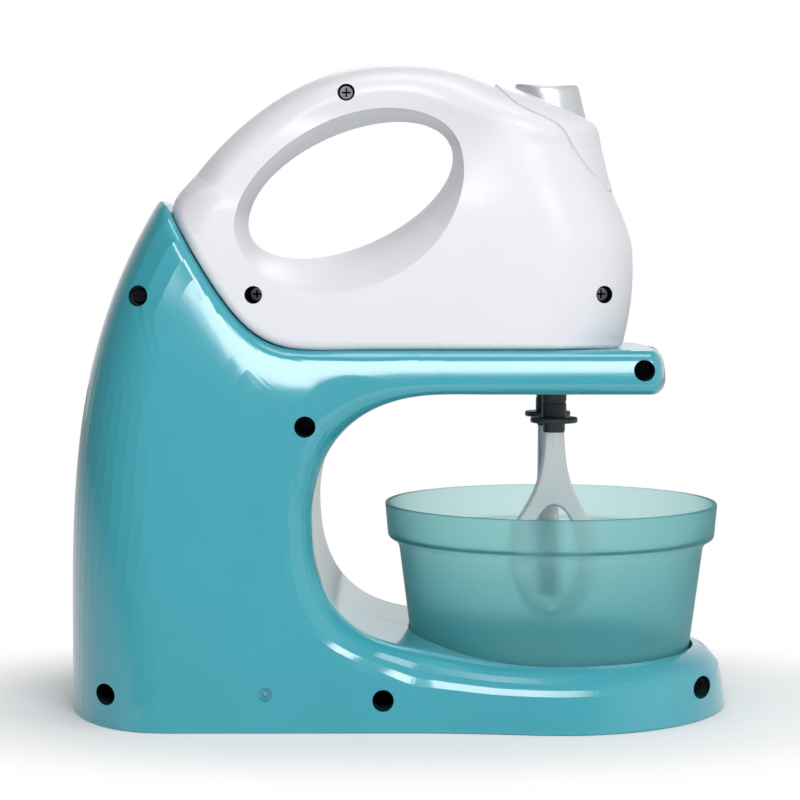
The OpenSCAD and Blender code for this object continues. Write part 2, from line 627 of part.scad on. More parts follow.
module stand_half() {
    difference() {
        union() {
            stand_skin();
            for (at = stand_screw_at) wall_boss(true, at, stand_well_r + boss_wall, stand_wall);
            seat_cup();
            arm_slot_wall();
        }
        translate([bowl_x, 0, seat_floor]) cylinder(r = seat_r, h = 40, $fn = 96);
        translate([bowl_x, 0, arm_low - 5]) linear_extrude(height = arm_t + 10) slot_outline(0);
        children();
    }
}
module stand_right_shell() {
    color(teal) stand_half() well_cuts(stand_screw_at, true, stand_well_r, stand_seat);
}
module stand_left_shell() {
    color(teal) mirror([0, 1, 0]) stand_half() pilot_cuts(stand_screw_at);
}
module stand_screws() {
    color(steel) screw_set(stand_screw_at, stand_seat);
}

// ---- Bowl ----
module bowl() {
    collar_r = bowl_r - 1.1;
    wall_top_r = collar_r - collar_step;
    low = bowl_h - collar_h;
    outer = [[0, 0], [foot_r - 2, 0], [foot_r, 2], [wall_top_r, low - 3.2], [wall_top_r + 1.6, low - 1],
             [collar_r, low], [bowl_r, bowl_h - 0.8], [bowl_r - 0.6, bowl_h]];
    inner = [[bowl_r - bowl_wall + 0.2, bowl_h], [collar_r - bowl_wall, low + 1.4],
             [wall_top_r - bowl_wall + 0.8, low - 1.2], [wall_top_r - bowl_wall, low - 3.6],
             [foot_r - bowl_wall, 3.5], [foot_r - bowl_wall - 2, bowl_wall], [0, bowl_wall]];
    color(teal, 0.6) translate([bowl_x, 0, seat_floor])
        rotate_extrude($fn = 96) polygon(concat(outer, inner));
}

// ---- Mixer housings ----
cell_pitch = cell_d + 1.8;
box_wall = 1.4;
contact_room = 2.2;
box_l = cell_l + 2 * contact_room + 2 * box_wall;
box_hw = cell_pitch / 2 + cell_d / 2 + 0.5 + box_wall;
motor_x = bowl_x - worm_l / 2 - 5 - motor_l - 1.6;
box_x = motor_x - 1 - box_l;
box_z = arm_top + head_wall + 0.45;
box_h = cell_d + 2.9;
door_x = box_x + box_wall + 1;
door_l = box_l - 2 * box_wall - 2;
door_hw = box_hw - box_wall - 1;
door_screw_at = [motor_x + 5, 0];
sole_bore_r = socket_r + fit;
neck_r = socket_r - 2;
plate_t = 2;
mount_hw = 6.6;
lower_plate_z = worm_z - wheel_t / 2 - 6;
upper_plate_z = worm_z + wheel_t / 2 + 2.5;
tube_r = button_r + button_gap + 1.6;
tube_low = arm_top + 69;
door_gap = 0.2;
wheel_room = 0.6;
door_lug_hw = 4.5;
module door_outline(grow) {
    translate([door_x - grow, -door_hw - grow]) square([door_l + 2 * grow, 2 * (door_hw + grow)]);
    translate([door_x, -door_lug_hw - grow])
        square([door_screw_at[0] - door_x + door_lug_hw + grow, 2 * (door_lug_hw + grow)]);
}
module head_half() {
    difference() {
        union() {
            head_skin();
            for (at = head_screw_at) wall_boss(false, at, head_well_r + boss_wall, head_wall);
            translate([bowl_x, -beater_y, arm_top + 0.5]) cylinder(r = sole_bore_r + 2, h = 5);
        }
        translate([bowl_x, -beater_y, arm_top - 1]) cylinder(r = sole_bore_r, h = 10);
        translate([0, 0, arm_top - 1]) linear_extrude(height = head_wall + 2) door_outline(door_gap);
        translate([button_x, 0, tube_low - 1]) cylinder(r = tube_r + 0.3, h = 60);
        translate([bowl_x, -beater_y, worm_z - wheel_t / 2 - wheel_room])
            cylinder(r = wheel_r + 1.6, h = wheel_t + 2 * wheel_room);
        children();
    }
}
module mixer_right_housing() {
    color(white_abs) head_half() well_cuts(head_screw_at, false, head_well_r, head_seat);
}
module mixer_left_housing() {
    color(white_abs) mirror([0, 1, 0]) head_half() pilot_cuts(head_screw_at);
}
module housing_screws() {
    color(steel) screw_set(head_screw_at, head_seat);
}

// ---- Cowl and button ----
cowl_gap = 0.5;
cowl_first = nose_steps - 2;
cowl_last = h_top + 2;
cone_low = arm_top + 80;
cone_step = 0.2;
module cap_cone(grow) {
    low = cone_low;
    high = arm_top + button_rise;
    translate([button_x - button_r - grow, 0, low])
        linear_extrude(height = high - low, scale = button_taper, slices = 1)
            translate([button_r + grow, 0]) circle(r = button_r + grow, $fn = 56);
}
// One side of a cowl row: points at depths from the crease out to the outline
function cowl_side(i, row, off, n) =
    let (a = row[0], b = row[1], l = norm(b - a), dir = (a - b) / l,
         w = (i - cowl_first) / (cowl_last - cowl_first),
         reach = 2.4 + 10.5 * pow(sin(180 * w), 0.8),
         in_nose = i < h_top - 1, db = max(0.8, edge_depth(i) - off), share = edge_share(i))
    [for (k = [n : -1 : 0])
        let (d = reach * (1 - cos(90 * k / n)), p = b + d * dir,
             y = head_y(p[0], p[1], off) * (in_nose ? 1 : 1 - share * (1 - dome(d / db))))
        [p[0], max(0.3, y), p[1]]];
function cowl_row(i, row, off, n) =
    let (s = cowl_side(i, row, off, n))
    concat([for (p = s) [p[0], -p[1], p[2]]], [for (k = [n : -1 : 0]) s[k]]);
// A body over the cowl's area of the housing: its top lies at offset high from the housing's surface,
// its underside a sheet's thickness below, or level at z = level where that is given
module cowl_body(high, thick, level = undef) {
    n = 4;
    cols = 2 * n + 2;
    rows = cowl_last - cowl_first + 1;
    top = head_rows(-high);
    upper = [for (i = [cowl_first : cowl_last]) each cowl_row(i, top[i], -high, n)];
    lower = [for (p = upper) is_undef(level) ? p - thick * [0.6, clamp(p[1] / 4, -1, 1), 0.9] :
        [p[0], p[1], level]];
    first = rows * cols;
    points = concat(upper, lower);
    faces = concat(
        grid_faces(points, 0, rows, cols, false, false),
        grid_faces(points, first, rows, cols, false, true),
        [for (i = [0 : rows - 2]) let (a = i * cols, b = a + cols)
            each concat(quad(a, first + a, first + b, b),
                quad(a + cols - 1, b + cols - 1, first + b + cols - 1, first + a + cols - 1))],
        [for (j = [0 : cols - 2]) let (a = j, b = (rows - 1) * cols + j)
            each concat(quad(a, a + 1, first + a + 1, first + a), quad(b, first + b, first + b + 1, b + 1))]);
    polyhedron(points = points, faces = faces, convexity = 6);
}
module control_cowl() {
    color(white_abs) difference() {
        union() {
            cowl_body(cowl_t, cowl_t - cowl_gap);
            intersection() {
                translate([button_x, 0, tube_low]) cylinder(r = tube_r, h = 40);
                cowl_body(0.85 * cowl_t, 0, tube_low - 1);
            }
        }
        cap_cone(button_gap);
        translate([button_x, 0, tube_low - 1])
            cylinder(r = button_r + button_gap + cone_step, h = cone_low - tube_low + 1 + eps);
    }
}
cap_wall = 1.6;
spring_low = tube_low - 8;
spring_high = cone_low - 1;
switch_h = 9;
switch_hl = 9;
switch_hw = 8;
blade_drop = 2.6;
switch_z = spring_low - switch_h;
blade_z = spring_low - blade_drop + 0.02;
blade_t = 0.5;
dome_h = 0.6;
plunger_low = blade_z + blade_t + dome_h + button_travel + 0.1;
module power_button() {
    thumb_r = 48;
    color(silver) difference() {
        union() {
            cap_cone(0);
            translate([button_x, 0, tube_low + 1])
                cylinder(r = button_r - cone_step, h = cone_low - tube_low - 1 + eps);
        }
        translate([button_x - 1, 0, arm_top + button_rise - 1.4 + thumb_r]) rotate([90, 0, 0])
            cylinder(r = thumb_r, h = 40, center = true, $fn = 96);
        translate([button_x, 0, tube_low]) cylinder(r = button_r - cap_wall, h = spring_high - tube_low);
    }
    color(silver) translate([button_x, 0, plunger_low]) cylinder(r = 2, h = spring_high - plunger_low + eps);
}

// ---- Sweeps: rings of n points joined into a closed tube ----
module ring_tube(rings) {
    n = len(rings[0]);
    last = len(rings) - 1;
    faces = concat(
        [for (i = [0 : last - 1]) for (j = [0 : n - 1])
            let (a = i * n + j, b = i * n + (j + 1) % n) each quad(a, b, b + n, a + n)],
        [for (j = [1 : n - 2]) [0, j + 1, j]],
        [for (j = [1 : n - 2]) [last * n, last * n + j, last * n + j + 1]]);
    polyhedron(points = [for (r = rings) each r], faces = faces, convexity = 10);
}

// ---- Spring and switch ----
coil_r = 6;
coil_turns = 4;
wire_r = 0.5;
module button_spring() {
    steps = 10;
    low = spring_low + wire_r;
    high = spring_high - wire_r - 0.05;
    color(steel) ring_tube([
        for (i = [0 : coil_turns * steps])
            let (a = 360 * i / steps, z = mix(low, high, i / (coil_turns * steps)))
            [for (j = [0 : 5]) let (r = coil_r + wire_r * cos(60 * j))
                [button_x + r * cos(a), r * sin(a), z + wire_r * sin(60 * j)]]]);
}
module switch_block() {
    color(black) difference() {
        translate([button_x - switch_hl, -switch_hw, switch_z])
            cube([2 * switch_hl, 2 * switch_hw, switch_h]);
        translate([button_x - 3.2, -switch_hw - 1, spring_low - blade_drop])
            cube([6.4, 2 * switch_hw + 2, blade_drop + 0.4]);
    }
}
module switch_blade() {
    color(brass) translate([button_x, 0, blade_z]) {
        translate([-2.6, -6, 0]) cube([5.2, 12, blade_t]);
        cylinder(r = 1.4, h = blade_t + dome_h);
    }
}

// ---- Motor ----
shaft_r = 1;
shaft_in = 5;
shaft_out = 4;
cap_in = 3;
cap_proud = 1;
can_wall = 1;
nose_r = 3;
nose_l = 1.6;
// The can's outline moved in or out, by its own radius and flats
module motor_outline(grow) {
    intersection() {
        circle(r = motor_r + grow);
        square([3 * motor_r, 2 * (motor_flat + grow)], center = true);
    }
}
module along_x(x) {
    translate([x, 0, worm_z]) rotate([90, 0, 90]) children();
}
module motor() {
    color(steel) difference() {
        union() {
            along_x(motor_x) linear_extrude(height = motor_l) motor_outline(0);
            along_x(motor_x + motor_l - eps) cylinder(r = nose_r, h = nose_l + eps);
        }
        along_x(motor_x - cap_proud) linear_extrude(height = cap_in) motor_outline(-can_wall);
        along_x(motor_x + motor_l - shaft_in - 1) cylinder(r = shaft_r + fit, h = 2 * shaft_in);
    }
}
module motor_cap() {
    color(black) along_x(motor_x - cap_proud) linear_extrude(height = cap_in) motor_outline(-can_wall - 0.02);
    for (side = [-1, 1]) color(brass)
        translate([motor_x - 3.4, side * 5 - 1, worm_z + 2]) cube([2.6, 2, 0.5]);
}

// ---- Worm and wheels ----
worm_lead = PI * gear_m;
worm_x = bowl_x - worm_l / 2;
worm_core_r = 2.9 * gear_m;
module worm_thread() {
    steps = 14;
    turns = (worm_l - 1.6 * gear_m) / worm_lead;
    first = -turns / 2;
    profile = [[2.6, -0.62], [4.8, -0.26], [4.8, 0.26], [2.6, 0.62]] * gear_m;
    ring_tube([for (i = [0 : ceil(turns * steps)])
        let (turn = first + i / steps, a = 360 * turn)
        [for (p = profile)
            [bowl_x + worm_lead * turn + p[1], p[0] * cos(a), worm_z + p[0] * sin(a)]]]);
}
module worm() {
    color(white_abs) union() {
        along_x(worm_x) cylinder(r = worm_core_r, h = worm_l);
        worm_thread();
    }
    shaft_x = motor_x + motor_l - shaft_in;
    color(steel) along_x(shaft_x) cylinder(r = shaft_r, h = worm_x - shaft_x + eps);
    color(steel) along_x(worm_x + worm_l - eps) cylinder(r = shaft_r, h = shaft_out);
}
module wheel_outline(phase) {
    root = wheel_r - 1.15 * gear_m;
    tip = wheel_r + 0.85 * gear_m;
    pitch = 360 / wheel_teeth;
    tooth = [[root, -0.29], [tip, -0.12], [tip, 0.12], [root, 0.29]];
    rotate(phase) polygon([for (k = [0 : wheel_teeth - 1]) for (c = tooth)
        let (a = pitch * (k + c[1])) c[0] * [cos(a), sin(a)]]);
}
hub_h = 1.8;
module worm_wheel(side, phase) {
    color(black) translate([bowl_x, side * beater_y, worm_z - wheel_t / 2]) difference() {
        union() {
            linear_extrude(height = wheel_t) wheel_outline(phase);
            translate([0, 0, wheel_t - eps]) cylinder(r = socket_r + 1.5, h = hub_h);
        }
        translate([0, 0, -1]) cylinder(r = socket_r, h = wheel_t + 4);
    }
}
module right_worm_wheel() { worm_wheel(-1, 90); }
module left_worm_wheel() { worm_wheel(1, 270 + 180 / wheel_teeth); }

// ---- Drive sockets ----
hex_r = 3.4;
hex_l = 10;
stem_top = worm_z - 3;
socket_low = arm_top + 0.6;
collar_low = lower_plate_z + plate_t + 0.05;
module drive_socket(side) {
    color(black) translate([bowl_x, side * beater_y, 0]) difference() {
        union() {
            translate([0, 0, socket_low])
                cylinder(r = socket_r, h = worm_z + wheel_t / 2 + hub_h - socket_low);
            translate([0, 0, collar_low])
                cylinder(r = socket_r + 2, h = worm_z - wheel_t / 2 - collar_low);
            translate([0, 0, worm_z]) cylinder(r = neck_r, h = upper_plate_z + plate_t - 0.3 - worm_z);
        }
        translate([0, 0, socket_low - 1])
            cylinder(r = stem_r + fit, h = stem_top - hex_l + 0.2 - socket_low + 1);
        translate([0, 0, socket_low]) cylinder(r = hex_r + 2 * fit, h = stem_top + 0.5 - socket_low, $fn = 6);
    }
}
module right_drive_socket() { drive_socket(-1); }
module left_drive_socket() { drive_socket(1); }

// ---- Gearbox ----
frame_hw = beater_y + 9;
frame_x0 = motor_x + motor_l + nose_l;
frame_x1 = bowl_x + 8;
bearing_r = 11;
post_r = 2.4;
rear_post_y = 9;
front_post_y = 4.5;
tail_hw = 4;
sole_in = arm_top + head_wall + 0.1;
module bearing_plate(z, r) {
    difference() {
        union() {
            translate([frame_x0, -frame_hw, z]) cube([frame_x1 - frame_x0, 2 * frame_hw, plate_t]);
            for (side = [-1, 1]) translate([bowl_x, side * beater_y, z]) cylinder(r = bearing_r, h = plate_t);
        }
        for (side = [-1, 1]) translate([bowl_x, side * beater_y, z - 1]) cylinder(r = r, h = plate_t + 2);
    }
}
module gearbox_frame() {
    post_h = upper_plate_z - lower_plate_z - plate_t;
    tail_x = bowl_x + worm_l / 2 + 1.5;
    foot_h = lower_plate_z - sole_in + eps;
    color(white_abs) difference() {
        union() {
            bearing_plate(lower_plate_z, socket_r + fit);
            translate([frame_x0, -mount_hw, lower_plate_z]) cube([plate_t, 2 * mount_hw, post_h + plate_t]);
            translate([tail_x, -tail_hw, lower_plate_z]) cube([plate_t, 2 * tail_hw, post_h + plate_t]);
            for (side = [-1, 1]) {
                translate([frame_x0 + post_r, side * rear_post_y, sole_in]) cylinder(r = post_r, h = foot_h);
                translate([tail_x - 2, side * front_post_y, sole_in]) cylinder(r = post_r, h = foot_h);
            }
        }
        along_x(frame_x0 - 1) cylinder(r = nose_r + fit, h = plate_t + 2);
        along_x(tail_x - 0.5) cylinder(r = shaft_r + fit, h = plate_t + 4);
    }
}
module gearbox_cover() {
    post = 5;
    post_y = 5.5;
    color(white_abs) {
        bearing_plate(upper_plate_z, neck_r + fit);
        for (side = [-1, 1])
            translate([button_x - switch_hl, side * post_y - post / 2, upper_plate_z + plate_t - eps])
                cube([2 * switch_hl, post, switch_z - upper_plate_z - plate_t + eps]);
    }
}

// ---- Beaters ----
flange_t = 2;
neck_l = 4.5;
peg_r = 2;
peg_l = 3.8;
stem_low = flange_z - neck_l;
module beater_stem(side) {
    color(black) translate([bowl_x, side * beater_y, 0]) {
        translate([0, 0, flange_z + flange_t / 2 - eps])
            cylinder(r = stem_r, h = stem_top - hex_l - flange_z - flange_t / 2 + eps);
        translate([0, 0, stem_top - hex_l - eps]) cylinder(r = hex_r, h = hex_l, $fn = 6);
        difference() {
            union() {
                translate([0, 0, flange_z - flange_t / 2]) cylinder(r = flange_r, h = flange_t);
                translate([0, 0, stem_low]) cylinder(r = 0.89 * stem_r, h = neck_l);
            }
            translate([0, 0, stem_low - 1]) cylinder(r = peg_r, h = peg_l + 1.2);
        }
    }
}
module right_beater_stem() { beater_stem(-1); }
module left_beater_stem() { beater_stem(1); }

whisk_neck_r = 3.6;
whisk_neck_l = 6;
// Half outline of the whisk, from its neck over the shoulder to the foot: [half width, height]
function whisk_side(h) = [
    for (k = [0 : 7]) bez([[whisk_neck_r, h], [1.17 * whisk_neck_r, 0.74 * h],
                           [0.46 * whisk_r, 0.66 * h], [0.84 * whisk_r, 0.52 * h]], k / 8),
    for (k = [0 : 10]) bez([[0.84 * whisk_r, 0.52 * h], [1.12 * whisk_r, 0.39 * h],
                            [whisk_r, -0.01 * h], [0, 0]], k / 10)];
function whisk_eye(h) = [
    for (k = [0 : 12]) bez([[0, 0.6 * h], [0.56 * whisk_r, 0.6 * h],
                            [1.05 * whisk_r, 0.09 * h], [0, 0.1 * h]], k / 12)];
function both_sides(half) = concat(half,
    [for (k = [len(half) - 1 : -1 : 0]) if (half[k][0] > 0.02) [-half[k][0], half[k][1]]]);
module whisk(side, turn) {
    h = stem_low - whisk_low;
    color(silver) translate([bowl_x, side * beater_y, whisk_low]) rotate([0, 0, turn]) {
        rotate([90, 0, 0]) translate([0, 0, -whisk_t / 2]) linear_extrude(height = whisk_t)
            difference() {
                polygon(both_sides(whisk_side(h)));
                polygon(both_sides(whisk_eye(h)));
            }
        translate([0, 0, h - whisk_neck_l]) cylinder(r = whisk_neck_r, h = whisk_neck_l);
        translate([0, 0, h - eps]) cylinder(r = peg_r - 0.02, h = peg_l);
    }
}
module right_whisk() { whisk(-1, 0); }
module left_whisk() { whisk(1, 90); }

// ---- Batteries ----
cell_z = arm_top + door_t + 0.6 + 0.5 + cell_d / 2;
door_head_low = 0.5;
door_head_h = 1.1;
door_hook_y = [-9, 9];
hook_l = 1.8;
hook_t = 1;
hook_hw = 2.5;
lug_hw = 3.5;
lug_h = 9;
module battery_box() {
    color(black) {
        difference() {
            translate([box_x, -box_hw, box_z]) cube([box_l, 2 * box_hw, box_h]);
            translate([box_x + box_wall, -box_hw + box_wall, box_z - 1])
                cube([box_l - 2 * box_wall, 2 * (box_hw - box_wall), box_h - 0.4]);
            for (y = door_hook_y) translate([box_x - 1, y - hook_hw - 0.3, box_z - 1])
                cube([box_wall + 2, 2 * hook_hw + 0.6, hook_t + 1.4]);
        }
        difference() {
            translate([box_x + box_l - eps, -lug_hw, box_z])
                cube([door_screw_at[0] + lug_hw - box_x - box_l, 2 * lug_hw, lug_h]);
            translate([door_screw_at[0], 0, box_z - 1]) cylinder(r = screw_r + 0.02, h = lug_h);
        }
    }
}
nub_l = 1.2;
module batteries() {
    for (side = [-1, 1]) color(cell_green)
        translate([box_x + box_wall + contact_room, side * cell_pitch / 2, cell_z]) rotate([0, 90, 0]) {
            translate([0, 0, side > 0 ? 0 : nub_l]) cylinder(r = cell_d / 2, h = cell_l - nub_l);
            translate([0, 0, side > 0 ? cell_l - nub_l - eps : 0]) cylinder(r = 2.7, h = nub_l + eps);
        }
}
leaf_t = 0.5;
module battery_contacts() {
    spring_l = contact_room - leaf_t - 0.05;
    color(brass) for (side = [-1, 1]) for (end = [0, 1]) {
        x = end ? box_x + box_l - box_wall - leaf_t : box_x + box_wall;
        translate([x, side * cell_pitch / 2 - 4.5, cell_z - 5]) cube([leaf_t, 9, 10]);
        translate([end ? x - spring_l : x + leaf_t - eps, side * cell_pitch / 2, cell_z]) rotate([0, 90, 0])
            cylinder(r1 = end ? 2 : 4, r2 = end ? 4 : 2, h = spring_l + eps);
    }
}
module battery_door() {
    z = arm_top + 0.3;
    hook_z = box_z + 0.1;
    hook_leg = 1.2;
    color(white_abs) difference() {
        union() {
            translate([0, 0, z]) linear_extrude(height = door_t) door_outline(0);
            for (y = door_hook_y) translate([door_x - hook_l, y - hook_hw, hook_z]) {
                cube([hook_l + hook_leg, 2 * hook_hw, hook_t]);
                translate([hook_l, 0, z + door_t - eps - hook_z])
                    cube([hook_leg, 2 * hook_hw, hook_z + 0.5 - z - door_t]);
            }
        }
        translate([door_screw_at[0], 0, arm_top]) cylinder(r = screw_r + 3 * fit, h = door_t + 1);
        translate([door_screw_at[0], 0, arm_top])
            cylinder(r = screw_head_r + 0.2, h = door_head_low + door_head_h);
    }
}
module door_screw() {
    color(steel) translate([door_screw_at[0], 0, arm_top + door_head_low]) {
        cylinder(r = screw_head_r, h = door_head_h);
        cylinder(r = screw_r, h = 8);
    }
}

// ---- Wires: from the battery box to the motor and up to the switch ----
module wire(path, y) {
    r = 0.7;
    ring_tube([for (i = [0 : len(path) - 1])
        let (p = path[max(0, i - 1)], q = path[min(len(path) - 1, i + 1)], t = (q - p) / norm(q - p))
        [for (j = [0 : 5]) [path[i][0] - r * cos(60 * j) * t[1], y + r * sin(60 * j),
                            path[i][1] + r * cos(60 * j) * t[0]]]]);
}
module lead_wires() {
    start = [box_x + box_l - 8, box_z + box_h];
    color(red) wire([start + [0, 0.1], start + [0, 3], [motor_x - 5, worm_z], [motor_x - 4.6, worm_z + 3.4],
                           [motor_x - 3, worm_z + 3.3]], 5);
    color(black) wire([start + [0, 0.1], start + [0, 4], [motor_x - 4, worm_z + 8],
                       [motor_x + 8, worm_z + 14],
                       [button_x - 16, switch_z + 3], [button_x - 9.1, switch_z + 4]], -7);
}

stand_right_shell();
stand_left_shell();
stand_screws();
bowl();
mixer_right_housing();
mixer_left_housing();
housing_screws();
control_cowl();
power_button();
button_spring();
switch_block();
switch_blade();
motor();
motor_cap();
worm();
gearbox_frame();
gearbox_cover();
right_worm_wheel();
left_worm_wheel();
right_drive_socket();
left_drive_socket();
right_beater_stem();
left_beater_stem();
right_whisk();
left_whisk();
battery_box();
batteries();
battery_contacts();
battery_door();
door_screw();
lead_wires();
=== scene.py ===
"""Looks of the toy hand mixer docked on its stand: smooth shells, bowl, whisks, screws and materials.

The outlines are worked out in millimetres in the part's frame (+X nose, +Z up, parting plane Y = 0),
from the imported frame's boxes, and turned into metres where the meshes are made."""
import math

import bmesh
import bpy
from mathutils import Matrix, Vector
from mathutils.bvhtree import BVHTree

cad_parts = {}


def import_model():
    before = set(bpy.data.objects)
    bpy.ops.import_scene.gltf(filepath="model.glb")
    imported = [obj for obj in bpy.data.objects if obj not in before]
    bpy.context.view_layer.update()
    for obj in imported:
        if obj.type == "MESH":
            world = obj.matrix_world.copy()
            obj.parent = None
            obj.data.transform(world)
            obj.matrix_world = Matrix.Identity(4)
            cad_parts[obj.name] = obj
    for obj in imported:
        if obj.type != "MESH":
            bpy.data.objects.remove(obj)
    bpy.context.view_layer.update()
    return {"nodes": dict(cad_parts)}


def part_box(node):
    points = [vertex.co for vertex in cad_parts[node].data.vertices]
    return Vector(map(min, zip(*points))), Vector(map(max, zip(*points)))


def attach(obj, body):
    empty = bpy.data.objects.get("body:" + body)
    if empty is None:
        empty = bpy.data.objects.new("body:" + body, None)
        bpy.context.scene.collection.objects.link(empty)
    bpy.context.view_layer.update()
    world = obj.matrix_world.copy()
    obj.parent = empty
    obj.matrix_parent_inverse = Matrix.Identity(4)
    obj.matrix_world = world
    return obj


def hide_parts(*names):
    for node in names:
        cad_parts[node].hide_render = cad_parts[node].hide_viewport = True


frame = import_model()

MM = 0.001


def mm_box(node):
    """A node's lowest and highest corners in millimetres."""
    low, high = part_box(node)
    return [v * 1000 for v in low], [v * 1000 for v in high]


# ---------------- sizes from the frame
stand_low, stand_high = mm_box("stand_right_shell")
bowl_low, bowl_high = mm_box("bowl")
head_low, head_high = mm_box("mixer_right_housing")
button_low, button_high = mm_box("power_button")
stem_low_box, stem_high_box = mm_box("right_beater_stem")
whisk_low_box, whisk_high_box = mm_box("right_whisk")
wheel_low_box, wheel_high_box = mm_box("right_worm_wheel")

# stand
REAR_X, TIP_Z = stand_low[0], stand_high[2]
STAND_L, STAND_HW = -2 * REAR_X, 62
BOWL_X = (bowl_low[0] + bowl_high[0]) / 2
BASE_R = STAND_L / 2 - BOWL_X
SEAT_FLOOR, SEAT_R = bowl_low[2], 53.9
BASE_TOP, BASE_RIM_R = SEAT_FLOOR + 8, 11.5
ARM_TOP, ARM_T = head_low[2], 16
ARM_LOW = ARM_TOP - ARM_T
OPEN_X = BOWL_X - 88.7
OPENING_H = ARM_LOW - BASE_TOP
ARM_REACH, ARM_EDGE_R, ARM_NOSE = 41.4, 4, 9
TIP_RISE = TIP_Z - ARM_TOP
BACK_LEAN, BACK_DEPTH, SIDE_DRAFT = 33, 40, 0.142
TIP_X, TIP_ROUND = REAR_X + BACK_LEAN + 3, 2.8
STAND_WELL_R, STAND_SEAT = 3.8, 26

# bowl and beaters
BOWL_R = (bowl_high[1] - bowl_low[1]) / 2
BOWL_H = bowl_high[2] - bowl_low[2]
BEATER_Y = -(wheel_low_box[1] + wheel_high_box[1]) / 2
SLOT_X = 18.6
SLOT_Y = BEATER_Y + SLOT_X

# mixer
HEAD_TOP, HEAD_EDGE_R = ARM_TOP + 105.4, 3.5
NOSE_X, NOSE_Z, NOSE_ROUND = head_high[0], ARM_TOP + 29, 32
LEDGE, CRADLE_GAP, HANDLE_HW = 3.2, 0.4, 19
GRIP_A, GRIP_B, GRIP_TILT = 41.2, 21.1, 24.3
GRIP_X, GRIP_Z = REAR_X + 0.58 * (BOWL_X - REAR_X), ARM_TOP + 58.4
HEAD_WELL_R, HEAD_SEAT = 3.2, 14
COWL_T = 1.05
SEAM = 0.22


# ---------------- small curves
def sind(a):
    return math.sin(math.radians(a))


def cosd(a):
    return math.cos(math.radians(a))


def mix(a, b, t):
    return a + (b - a) * t


def clamp(v, low=0.0, high=1.0):
    return min(high, max(low, v))


def steps(n):
    """The shares 1/n, 2/n and so on up to 1."""
    return [k / n for k in range(1, n + 1)]


def smooth(t):
    """A soft step from 0 to 1."""
    c = clamp(t)
    return c * c * (3 - 2 * c)


def bez(p, t):
    """A point of the cubic Bezier curve with the control points p."""
    w = ((1 - t) ** 3, 3 * (1 - t) ** 2 * t, 3 * (1 - t) * t * t, t ** 3)
    return tuple(sum(w[k] * p[k][c] for k in range(4)) for c in range(2))


def bez_off(p, t, gap):
    """A point of the curve moved off to its left by gap."""
    s = clamp(t, 0.002, 0.998)
    w = (3 * (1 - s) ** 2, 6 * (1 - s) * s, 3 * s * s)
    d = [sum(w[k] * (p[k + 1][c] - p[k][c]) for k in range(3)) for c in range(2)]
    n = math.hypot(*d)
    q = bez(p, t)
    return (q[0] - gap * d[1] / n, q[1] + gap * d[0] / n)


def round_in(r, d):
    """Inset of a quarter round of radius r, at depth d below its edge."""
    if d >= r or r <= 0:
        return 0.0
    return r - math.sqrt(max(0.0, r * r - (r - d) ** 2))


def dome(u):
    """Height of a quarter circle: 0 at its edge, 1 from u = 1 on."""
    c = 1 - clamp(u)
    return math.sqrt(max(0.0, 1 - c * c))


def direction(a, b):
    """The distance from a to b, and the two parts of the unit vector."""
    length = math.dist(a, b)
    return length, (b[0] - a[0]) / length, (b[1] - a[1]) / length


def row_depths(length, ra, rb, n_a, m, n_b):
    """Depths at which a row is sampled: a quarter round at either end and m points between."""
    b = min(rb, 0.94 * (length - ra))
    return ([ra * (1 - cosd(90 * k / n_a)) for k in range(n_a + 1)]
            + [mix(ra, length - b, k / (m + 1)) for k in range(1, m + 1)]
            + [length - b * (1 - cosd(90 * k / n_b)) for k in range(n_b, -1, -1)])


# ---------------- stand
SOLE_X = BOWL_X - 90
CRADLE = [(SOLE_X, ARM_TOP), (SOLE_X - 21.3, ARM_TOP),
          (mix(TIP_X, SOLE_X - 21.3, 0.77), ARM_TOP + 0.2 * TIP_RISE), (TIP_X + 2.2, TIP_Z - 2.4)]
OPEN_LOW = BASE_TOP + 0.53 * OPENING_H
OPEN_UP = [(OPEN_X + 46.5, ARM_LOW), (OPEN_X + 17, ARM_LOW - 0.5),
           (OPEN_X, OPEN_LOW + 27), (OPEN_X, OPEN_LOW)]
OPEN_DOWN = [(OPEN_X, OPEN_LOW), (OPEN_X, BASE_TOP + 6),
             (OPEN_X + 32, BASE_TOP + 6.6), (OPEN_X + 43.5, BASE_TOP + 4.2)]
PLATE_START, PLATE_FLAT = OPEN_X + 43.5, BOWL_X - 12
BACK_Z0 = 0.208 * ARM_TOP
ARM_ANGLES = [78, 60, 42, 22, 0]
TURN_END, HORN_END, HORN_SHARE = 0.46, 0.86, 0.02   # shares of OPEN_UP
FOOT_SHARE = 0.32                                   # share of OPEN_DOWN
ARM_CORNER_R, FOOT_R = 5, 1.2
ARM_CROWN, ARM_TOP_CROWN = (7, 0.9), (16, 1.92)     # width and rise
BODY_CROWN, CORNER_CROWN = (16, 1.6), (20, 3.4)
PLATE_RISE = 4.2
ARM_STEPS, TURN_STEPS, CRADLE_STEPS, BACK_STEPS = 4, 5, 8, 10
FOOT_STEPS, FLOOR_STEPS, PLATE_STEPS = 3, 5, 3
DISC_ANGLES = [-20, -6, 8, 21, 33, 43]
RIM_ANGLES = [0, 22, 42, 60, 76, 90]
RIM_DROPS = [0.5, 0.88]
N_ARM = len(ARM_ANGLES) + ARM_STEPS
N_TIP = N_ARM + TURN_STEPS + CRADLE_STEPS
TIP_ANGLES = [25, 70, 115, 150]
N_BACK = N_TIP + len(TIP_ANGLES)
N_FOOT = N_BACK + BACK_STEPS + 1
N_FLOOR = N_FOOT + FOOT_STEPS
N_PLATE = N_FLOOR + FLOOR_STEPS


def back_x(z):
    """The back in side view: upright below, leaning in towards the tip."""
    return REAR_X + BACK_LEAN * clamp((z - BACK_Z0) / (TIP_Z - BACK_Z0)) ** 3


